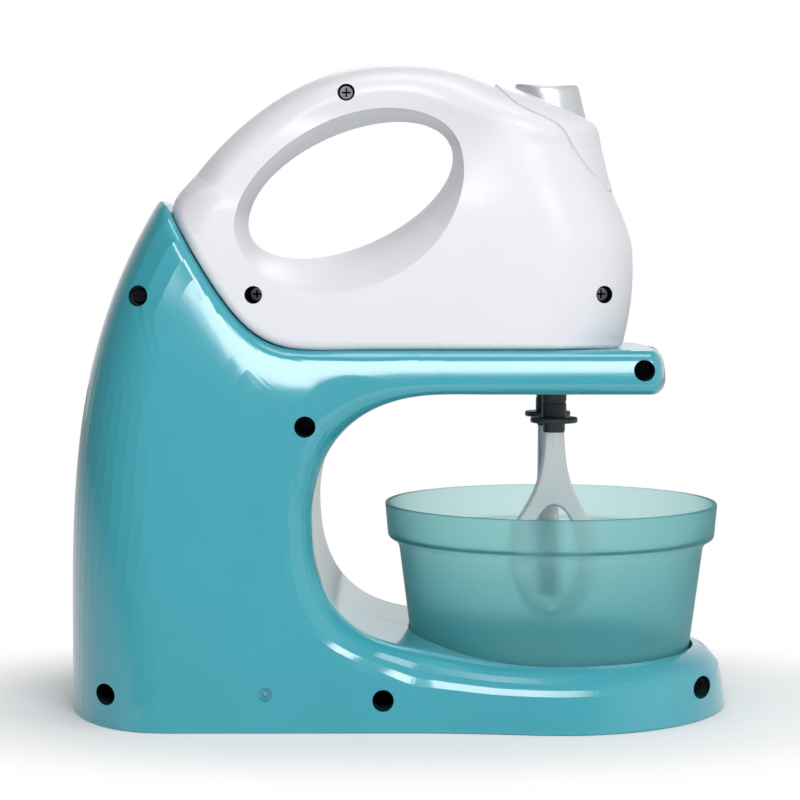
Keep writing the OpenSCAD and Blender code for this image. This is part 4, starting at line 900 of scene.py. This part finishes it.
# what keeps its solid's shape: the pieces inside, the screws and the door
for material, names in ((BLACK, ("switch_block", "motor_cap", "gearbox_frame", "gearbox_cover", "battery_box",
                                 "right_drive_socket", "left_drive_socket")),
                        (GEAR, ("right_worm_wheel", "left_worm_wheel", "worm")),
                        (STEEL, ("housing_screws", "door_screw", "button_spring")),
                        (BRASS, ("switch_blade", "battery_contacts")),
                        (OXIDE, ("stand_screws",)), (CAN, ("motor",)), (JACKET, ("batteries",)),
                        (SHEATH, ("lead_wires",)), (WHITE, ("battery_door",))):
    for name in names:
        slots = frame["nodes"][name].data.materials
        slots.clear()
        slots.append(material)


OUTSIDE_Y = -90


def shell(name, grid, side, loop, material, cutters):
    """A half's skin with its cuts, shaded like the uncut skin."""
    skin = half_solid(name, grid, side, loop, material)
    uncut = skin.copy()
    uncut.data = skin.data.copy()
    bpy.context.scene.collection.objects.link(uncut)
    cut(skin, cutters)
    finish_skin(skin, uncut)
    return skin


def wells(places, r, depth_y, material):
    """Cutters of the screw wells in a right half. The material they give the well walls is painted shade."""
    return [cylinder_y("well", x, z, r, OUTSIDE_Y, -depth_y, material) for x, z in places]


# ---------------- stand
STAND_SCREWS = [(REAR_X + 28.6, ARM_TOP + 19.4), (OPEN_X - 2.3, ARM_LOW - 11.2), (REAR_X + 17.9, 11.8),
                (BOWL_X - 63, 11.4), (BOWL_X + 53, 11.5), (BOWL_X + 30.5, ARM_LOW + 0.55 * ARM_T)]
HEAD_SCREWS = [(GRIP_X - 1, (GRIP_Z + 21.6 + HEAD_TOP) / 2 + 1), (GRIP_X - 34.1, ARM_TOP + 19.8),
               (NOSE_X - 13, ARM_TOP + 19.8)]
DIMPLE = (-47.7, 13.5)
DIMPLE_R, DIMPLE_DEPTH, NUB_R = 2.4, 1.3, 0.9
DIMPLE_Y = -stand_y(*DIMPLE, 0, False)

stand_grid = with_seam(stand_surface(times=8, n=8, m=12, n_back=14))
for name, side in (("stand_right", 1), ("stand_left", -1)):
    cutters = [prism_z("seat", circle(BOWL_X, 0, SEAT_R), SEAT_FLOOR, SEAT_FLOOR + 40, TEAL),
               prism_z("slot", stadium(BOWL_X, SLOT_X, SLOT_Y - SLOT_X), ARM_LOW - 5, ARM_TOP + 5, TEAL)]
    if side > 0:
        # the well walls take the painted shade
        cutters += wells(STAND_SCREWS, STAND_WELL_R, STAND_SEAT, TEAL_WELL_SHADE)
        cutters.append(cylinder_y("dimple", *DIMPLE, DIMPLE_R, OUTSIDE_Y, DIMPLE_Y + DIMPLE_DEPTH, TEAL))
    skin = shell(name + "_skin", stand_grid, side, False, TEAL, cutters)
    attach(skin, "stand")
    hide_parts(name + "_shell")

nub = cylinder_y("gate_nub", *DIMPLE, NUB_R, DIMPLE_Y + 0.25, DIMPLE_Y + DIMPLE_DEPTH + 0.3, TEAL, 32)
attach(nub, "stand")


# ---------------- mixer housing
def door_outline(grow):
    """The battery door's outline in the sole, counterclockwise."""
    low, high = mm_box("battery_door")
    hw = (high[1] - low[1]) / 2 + grow
    lug = 4.5 + grow
    x0, x2 = low[0] + 1.8 - grow, high[0] + grow
    x1 = x0 + 51.8 + 2 * grow
    return [(x0, -hw), (x1, -hw), (x1, -lug), (x2, -lug), (x2, lug), (x1, lug), (x1, hw), (x0, hw)]


SOCKET_R = 6.05
head_grid = with_seam(head_surface(times=5, n=10, m=9, n_nose=22))
for name, side in (("mixer_right", 1), ("mixer_left", -1)):
    socket = circle(BOWL_X, -side * BEATER_Y, SOCKET_R, 48)
    # The cut faces of these bores and the bay take the darker white: painted shade.
    cutters = [prism_z("socket_bore", socket, ARM_TOP - 3, ARM_TOP + 9, WHITE_INSIDE_SHADE),
               prism_z("door_bay", door_outline(0.2), ARM_TOP - 3, ARM_TOP + 3.6, WHITE_INSIDE_SHADE),
               prism_z("button_bore", circle(BOWL_X, 0, 16), ARM_TOP + 68, HEAD_TOP + 20, WHITE_INSIDE_SHADE)]
    if side > 0:
        # the well walls take the painted shade
        cutters += wells(HEAD_SCREWS, HEAD_WELL_R, HEAD_SEAT, WHITE_WELL_SHADE)
    skin = shell(name + "_skin", head_grid, side, True, WHITE, cutters)
    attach(skin, "mixer")
    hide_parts(name + "_housing")


CROSS_L, CROSS_W, CROSS_T, CROSS_H = 3.16, 0.66, 0.12, 0.9     # H: below the heads' outermost point


def cross_recess_shades(name, places, y):
    """Painted shade in the screws' cross recesses: two crossed dark bars for each, in place of the shadow at
    the recess floor.
    """
    points, faces = [], []
    for x, z in places:
        for half_x, half_z in ((CROSS_L / 2, CROSS_W / 2), (CROSS_W / 2, CROSS_L / 2)):
            first = len(points)
            points += [(x + sx * half_x, y + dy, z + sz * half_z)
                       for dy in (0, CROSS_T) for sx, sz in ((-1, -1), (1, -1), (1, 1), (-1, 1))]
            quads = [(0, 1, 2, 3), (7, 6, 5, 4)] + [quad[::-1] for quad in ring_sides(2, 4)]
            faces += [tuple(first + v for v in quad) for quad in quads]
    return mesh_object(name, points, faces, RECESS_SHADE)


# Dark bars on the mixer's screw heads: painted shade in their cross recesses.
recess_shades = cross_recess_shades("screw_cross_shades", HEAD_SCREWS, mm_box("housing_screws")[0][1] + CROSS_H)
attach(recess_shades, "mixer")


# ---------------- control cowl
COWL_FIRST, COWL_LAST = NOSE_STEPS - 2, H_TOP + 2


def cowl_line(i, row, off, n):
    """Points across the cowl from its right crease over the outline to its left crease."""
    a, b = row
    _, dx, dz = direction(b, a)
    w = (i - COWL_FIRST) / (COWL_LAST - COWL_FIRST)
    reach = 2.4 + 10.5 * max(0, sind(180 * w)) ** 0.8
    db = max(0.8, edge_depth(i) - off)
    side = []
    for k in range(n, -1, -1):
        depth = reach * (1 - cosd(90 * k / n))
        x, z = b[0] + depth * dx, b[1] + depth * dz
        y = head_y(x, z, off)
        if i >= H_TOP - 1:
            y *= 1 - edge_share(i) * (1 - dome(depth / db))
        side.append((x, max(0.3, y), z))
    return [(x, -y, z) for x, y, z in side] + side[::-1]


def cowl_sheet(name):
    """The raised plate round the button, with a rounded rim that turns down to the housing."""
    under, over = head_rows(), head_rows(-COWL_T)
    lines = []
    for i in range(COWL_FIRST, COWL_LAST + 1):
        lift = mix(0.3, 1, smooth(3 * (i - COWL_FIRST) / (COWL_LAST - COWL_FIRST)))
        row = [tuple(mix(u, v, lift) for u, v in zip(p, q)) for p, q in zip(under[i], over[i])]
        lines.append(cowl_line(i, row, -COWL_T * lift, 10))
    top = refine(lines, 8, False)
    faces = [face[:1] + face[:0:-1] for face in grid_faces(len(top), len(top[0]), False)]
    obj = mesh_object(name, [p for line in top for p in line], faces, WHITE)
    modify(obj, "SOLIDIFY", thickness=2.2 * MM, offset=-1)
    return obj


BUTTON_X = (button_low[0] + button_high[0]) / 2
BUTTON_R = (button_high[0] - button_low[0]) / 2
CONE_LOW = ARM_TOP + 80
BUTTON_TOP = ARM_TOP + 98
TAPER = 0.845
THUMB_R, RIM_R = 48, 1.1


def cone_ring(z, grow=0.0):
    """A ring of the button's cap, which leans forward as it narrows."""
    s = mix(1, TAPER, clamp((z - CONE_LOW) / (BUTTON_TOP - CONE_LOW)))
    r = BUTTON_R + grow
    return [(x, y, z) for x, y in circle(BUTTON_X - r + s * r, 0, s * r)]


cowl = cowl_sheet("control_cowl_skin")
cone = [cone_ring(z, 0.25) for z in (CONE_LOW, BUTTON_TOP)]
# The button way's walls take the darker white: painted shade.
cut(cowl, [tube("button_way", [[(x, y, CONE_LOW - 20) for x, y, _ in cone[0]]] + cone, WHITE_INSIDE_SHADE)])
smooth_by_angle(cowl, 40)
modify(cowl, "BEVEL", applied=False, width=0.35 * MM, segments=3, limit_method="ANGLE",
       angle_limit=math.radians(50), harden_normals=True)
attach(cowl, "mixer")
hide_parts("control_cowl")


# ---------------- button
def shrunk(ring, centre_x, share):
    """The ring's points drawn in towards its centre."""
    return [(centre_x + share * (x - centre_x), share * y) for x, y, _ in ring]


def button_cap():
    """The thumb button: a leaning round cap with a rolled rim and a saddle for the thumb."""
    def top_z(x):
        return BUTTON_TOP - 1.4 + THUMB_R - math.sqrt(THUMB_R ** 2 - (x - BUTTON_X + 1) ** 2)
    levels = [[(x, y, z) for x, y, _ in cone_ring(CONE_LOW)] for z in (button_low[2] + 3, CONE_LOW)]
    for t in steps(8):
        levels.append([(x, y, mix(CONE_LOW, top_z(x) - RIM_R, t))
                       for x, y, _ in cone_ring(mix(CONE_LOW, BUTTON_TOP - RIM_R, t))])
    edge = cone_ring(BUTTON_TOP)
    n = len(edge)
    cx = sum(p[0] for p in edge) / n
    r = math.hypot(edge[0][0] - cx, edge[0][1])
    for t in steps(6):
        rise, share = RIM_R * (sind(90 * t) - 1), 1 - RIM_R * (1 - cosd(90 * t)) / r
        levels.append([(x, y, top_z(x) + rise) for x, y in shrunk(edge, cx, share)])
    rim = levels[-1]
    for t in steps(9)[:-1]:
        levels.append([(x, y, top_z(x)) for x, y in shrunk(rim, cx, 1 - t)])
    last = (len(levels) - 1) * n
    faces = ring_sides(len(levels), n) + [(last + k, last + (k + 1) % n, last + n) for k in range(n)]
    faces.append(tuple(range(n - 1, -1, -1)))
    points = [p for ring in levels for p in ring] + [(cx, 0, top_z(cx))]
    return mesh_object("power_button_cap", points, faces, SILVER)


cap = button_cap()
smooth_by_angle(cap, 50)
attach(cap, "button")
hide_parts("power_button")


# ---------------- bowl
BOWL_WALL, COLLAR_H, COLLAR_STEP, FOOT_RING_R = 1.9, 13, 4.1, 51.6


def bowl_mesh():
    """The turned bowl, from its foot ring over the step and the collar to the rim and back down inside."""
    collar_r, low = BOWL_R - 1.1, BOWL_H - COLLAR_H
    top_r = collar_r - COLLAR_STEP
    inner_r = top_r - BOWL_WALL
    corners = [(0, 0, 0), (FOOT_RING_R - 9, 0, 0.6), (FOOT_RING_R - 9.6, 0.7, 0.4),
               (FOOT_RING_R - 3.4, 0.7, 0.4), (FOOT_RING_R - 3, 0, 0.4), (FOOT_RING_R, 0, 2.2),
               (top_r, low - 3.2, 2.4),
               (top_r + 1.6, low - 1, 1.4), (collar_r, low, 1.2), (BOWL_R, BOWL_H - 0.9, 0.6),
               (BOWL_R - 0.1, BOWL_H, 0.6), (BOWL_R - BOWL_WALL + 0.3, BOWL_H, 0.6),
               (collar_r - BOWL_WALL, low + 1.4, 1.6), (inner_r + 0.8, low - 1.2, 1.4),
               (inner_r, low - 3.6, 1.6), (FOOT_RING_R - BOWL_WALL, 2.0, 5), (0, BOWL_WALL, 0)]
    profile = [(r, SEAT_FLOOR + z) for r, z in rounded(corners)]
    return lathe("bowl_body", profile, BOWL_X, 0, 160, FROSTED)


bowl = bowl_mesh()
smooth_by_angle(bowl, 40)
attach(bowl, "bowl")
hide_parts("bowl")


# ---------------- beaters
WHISK_LOW, STEM_LOW, STEM_TOP = whisk_low_box[2], stem_low_box[2], stem_high_box[2]
WHISK_R = (whisk_high_box[0] - whisk_low_box[0]) / 2
WHISK_T = whisk_high_box[1] - whisk_low_box[1]
WHISK_H = STEM_LOW - WHISK_LOW
WHISK_EDGE_R = 1.2
# curves in shares of the whisk's radius and height
SHOULDER_CURVE = [(3.6 / WHISK_R, 1), (4.2 / WHISK_R, 0.74), (0.46, 0.66), (0.84, 0.52)]
BELLY_CURVE = [(0.84, 0.52), (1.12, 0.39), (1, -0.01), (0, 0)]
EYE_CURVE = [(0, 0.6), (0.56, 0.6), (1.05, 0.09), (0, 0.1)]
CURVE_STEPS, EDGE_STEPS = 20, 5
FLANGE_Z, FLANGE_R, STEM_R, HEX_R = STEM_LOW + 4.5, 8.75, 4.6, 3.4


def whisk_curve(shares, count, parts=CURVE_STEPS):
    """The first points of a curve of the whisk's right half, from the top down."""
    points = [(x * WHISK_R, z * WHISK_H) for x, z in shares]
    return [bez(points, k / parts) for k in range(count)]


def offset_line(line, gap):
    """Moves a half outline to its right side by gap; its ends on the axis stay there."""
    out = []
    for k, p in enumerate(line):
        a, b = line[max(k - 1, 0)], line[min(k + 1, len(line) - 1)]
        dx, dz = b[0] - a[0], b[1] - a[1]
        n = math.hypot(dx, dz) or 1
        on_axis = k in (0, len(line) - 1) and p[0] < 0.01
        out.append((0.0 if on_axis else max(0.0, p[0] + gap * dz / n), p[1] - gap * dx / n))
    return out


def whisk_mesh(name, side, turn):
    """A moulded whisk: a strip with rounded edges round an eye."""
    outer = whisk_curve(SHOULDER_CURVE, CURVE_STEPS) + whisk_curve(BELLY_CURVE, CURVE_STEPS + 1)
    eye = whisk_curve(EYE_CURVE, 2 * CURVE_STEPS + 1, 2 * CURVE_STEPS)
    bm = bmesh.new()

    def ring(line, gap, y):
        right = offset_line(line, gap)
        left = [(-x, z) for x, z in right[::-1] if x > 1e-6]
        return [bm.verts.new((x * MM, y * MM, z * MM)) for x, z in right + left]

    def band(a, b):
        for k in range(len(a)):
            bm.faces.new((a[k], a[k - 1], b[k - 1], b[k]))
    first = []
    for sign in (-1, 1):
        last = []
        for line, inwards in ((outer, 1), (eye, -1)):
            rings = []
            for k in range(EDGE_STEPS + 1):
                a = 90 * k / EDGE_STEPS
                y = WHISK_T / 2 - WHISK_EDGE_R * (1 - sind(a))
                rings.append(ring(line, inwards * WHISK_EDGE_R * (1 - cosd(a)), sign * y))
            for pair in zip(rings, rings[1:]):
                band(*pair)
            first.append(rings[0])
            last.append(rings[-1])
        edges = [bm.edges.get((ends[k - 1], ends[k])) for ends in last for k in range(len(ends))]
        bmesh.ops.triangle_fill(bm, edges=edges, use_beauty=True)
    band(first[0], first[2])
    band(first[1], first[3])
    bmesh.ops.recalc_face_normals(bm, faces=bm.faces)
    mesh = bpy.data.meshes.new(name)
    bm.to_mesh(mesh)
    bm.free()
    mesh.polygons.foreach_set("use_smooth", [True] * len(mesh.polygons))
    mesh.materials.append(WHISK_SILVER)
    mesh.transform(Matrix.Rotation(math.radians(turn), 4, "Z"))
    mesh.transform(Matrix.Translation((BOWL_X * MM, side * BEATER_Y * MM, WHISK_LOW * MM)))
    obj = new_object(name, mesh)
    smooth_by_angle(obj, 40)
    return obj


def whisk_neck(name, side):
    """The round collar that joins the whisk's strip to the stem."""
    profile = rounded([(0, STEM_LOW - 9, 0), (2.5, STEM_LOW - 9, 0.6), (3.7, STEM_LOW - 5.5, 1.5),
                       (3.7, STEM_LOW - 0.2, 0.4), (3.2, STEM_LOW, 0.3), (0, STEM_LOW, 0)])
    return lathe(name, profile, BOWL_X, side * BEATER_Y, 48, WHISK_SILVER)


def stem_mesh(name, side):
    """The black stem: collar, flange with a rounded rim, and shaft with a groove."""
    r, z, far = STEM_R, FLANGE_Z, FLANGE_R
    profile = rounded([
        (0, STEM_LOW, 0), (0.84 * r, STEM_LOW, 0.4), (0.89 * r, STEM_LOW + 0.5, 0.3), (0.89 * r, z - 1, 0.3),
        (far - 0.3, z - 1, 0.3), (far, z - 0.6, 0.3), (far, z + 0.6, 0.3), (far - 0.3, z + 1, 0.3),
        (r, z + 1, 0.3), (r, z + 6, 0.1), (r - 0.25, z + 6.2, 0.1), (r - 0.25, z + 7, 0.1),
        (r, z + 7.2, 0.1), (r, STEM_TOP - 10.6, 0.4), (r - 0.7, STEM_TOP - 10, 0.3),
        (0, STEM_TOP - 10, 0)], 3)
    return lathe(name, profile, BOWL_X, side * BEATER_Y, 64, BLACK)


def hex_end(name, side):
    """The hexagonal end of the stem that the drive socket turns."""
    return tube(name, [[(x, y, z) for x, y in circle(BOWL_X, side * BEATER_Y, r, 6)] for z, r in (
        (STEM_TOP - 10.2, HEX_R), (STEM_TOP - 0.8, HEX_R), (STEM_TOP, HEX_R - 0.7))], BLACK)


for name, side, turn in (("right", -1, 0), ("left", 1, 90)):
    strip = whisk_mesh(name + "_whisk_strip", side, turn)
    neck = whisk_neck(name + "_whisk_neck", side)
    for obj in (strip, neck):
        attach(obj, name + "_beater")
    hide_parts(name + "_whisk")
    shaft = stem_mesh(name + "_beater_shaft", side)
    for obj in (shaft, hex_end(name + "_beater_drive", side)):
        smooth_by_angle(obj, 40)
        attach(obj, name + "_beater")
    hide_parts(name + "_beater_stem")


# ---------------- floor, light, camera
FLOOR_SIZE = 6000
PURE_WHITE = (1, 1, 1, 1)
WALLS = ((0.3, 0.3), (0.5, 0.13), (0.8, 0.13), (0.97, 0.85))    # place from front to back, strength
PRODUCT_MIDDLE = (0, 0, 0.12)


def seen_directly(tree):
    """1 for what the camera sees, also through the bowl, otherwise 0."""
    path = node(tree, "LightPath", {})
    return combine(tree, "MAXIMUM", path.outputs["Is Camera Ray"], path.outputs["Is Transmission Ray"])


def floor():
    """A pale floor that takes the shadow and fades into the white backdrop."""
    mat, tree, shader = new_material("floor_paper")
    feed(tree, shader, {"Base Color": (0.95, 0.95, 0.955, 1), "Roughness": 0.9, "Specular IOR Level": 0.1})
    white = node(tree, "Emission", {"Color": PURE_WHITE, "Strength": 1.0})
    place = node(tree, "NewGeometry", {}).outputs["Position"]
    oval = node(tree, "VectorMath", {0: place, 1: (1, 1.6, 1)}, operation="MULTIPLY").outputs["Vector"]
    away = node(tree, "VectorMath", {0: oval}, operation="LENGTH").outputs["Value"]
    far = spread(tree, away, (0.0, 1.0), (0.125, 0.24), interpolation_type="SMOOTHSTEP")
    share = combine(tree, "MULTIPLY", seen_directly(tree), far)
    feed(tree, tree.nodes["Material Output"],
         {"Surface": blend(tree, share, shader.outputs["BSDF"], white.outputs["Emission"])})
    s = FLOOR_SIZE
    obj = mesh_object("floor", [(-s, -s, 0), (s, -s, 0), (s, s, 0), (-s, s, 0)], [(0, 1, 2, 3)], mat)


def world():
    """Studio walls, dimmer to the rear, with a window ahead of the nose. Seen directly, it is plain white."""
    w = bpy.data.worlds.new("studio")
    bpy.context.scene.world = w
    w.use_nodes = True
    tree = w.node_tree
    tree.nodes.clear()
    axes = axes_of(tree)
    walls = node(tree, "ValToRGB", {"Fac": spread(tree, axes["Y"], (0.0, 1.0), (-1.0, 1.0))})
    ramp = walls.color_ramp
    first, *between, last = WALLS
    for stop, (position, value) in zip(ramp.elements, (first, last)):
        stop.position, stop.color = position, (value, value, value, 1)
    for position, value in between:
        ramp.elements.new(position).color = (value, value, value, 1)
    window = spread(tree, axes["X"], (0.0, 0.62), (0.25, 1.0), interpolation_type="SMOOTHSTEP")
    shade = spread(tree, axes["X"], (0.4, 1.0), (-0.9, -0.1))
    strength = combine(tree, "ADD", combine(tree, "MULTIPLY", walls.outputs["Color"], shade), window)
    ambient = node(tree, "Background", {"Color": PURE_WHITE, "Strength": strength}).outputs["Background"]
    backdrop = node(tree, "Background", {"Color": PURE_WHITE, "Strength": 1.0}).outputs["Background"]
    node(tree, "OutputWorld", {"Surface": blend(tree, seen_directly(tree), ambient, backdrop)})


def softbox(name, at, size_x, size_y, power):
    """An oval lamp that looks at the middle of the product."""
    lamp = bpy.data.lights.new(name, "AREA")
    lamp.shape = "ELLIPSE"
    lamp.size, lamp.size_y = size_x, size_y
    lamp.energy = power
    obj = new_object(name, lamp)
    obj.location = at
    obj.rotation_euler = (Vector(PRODUCT_MIDDLE) - Vector(at)).to_track_quat("-Z", "Y").to_euler()


floor()
world()
softbox("key", (0.15, -1.12, 0.85), 1.25, 0.34, 10.2)
softbox("top", (0.0, -0.1, 1.3), 0.9, 0.45, 3.6)
softbox("rear", (0.1, 1.3, 1.0), 0.9, 0.4, 2)

camera = bpy.data.cameras.new("photo_view")
camera.lens = 97.0
camera.sensor_width = 36.0
view = new_object("photo_view", camera)
view.location = (0.0, -0.8133, 0.1662)
view.rotation_euler = (math.radians(90 - 3.67), 0, 0)
bpy.context.scene.camera = view
bpy.context.scene.view_settings.view_transform = "Standard"
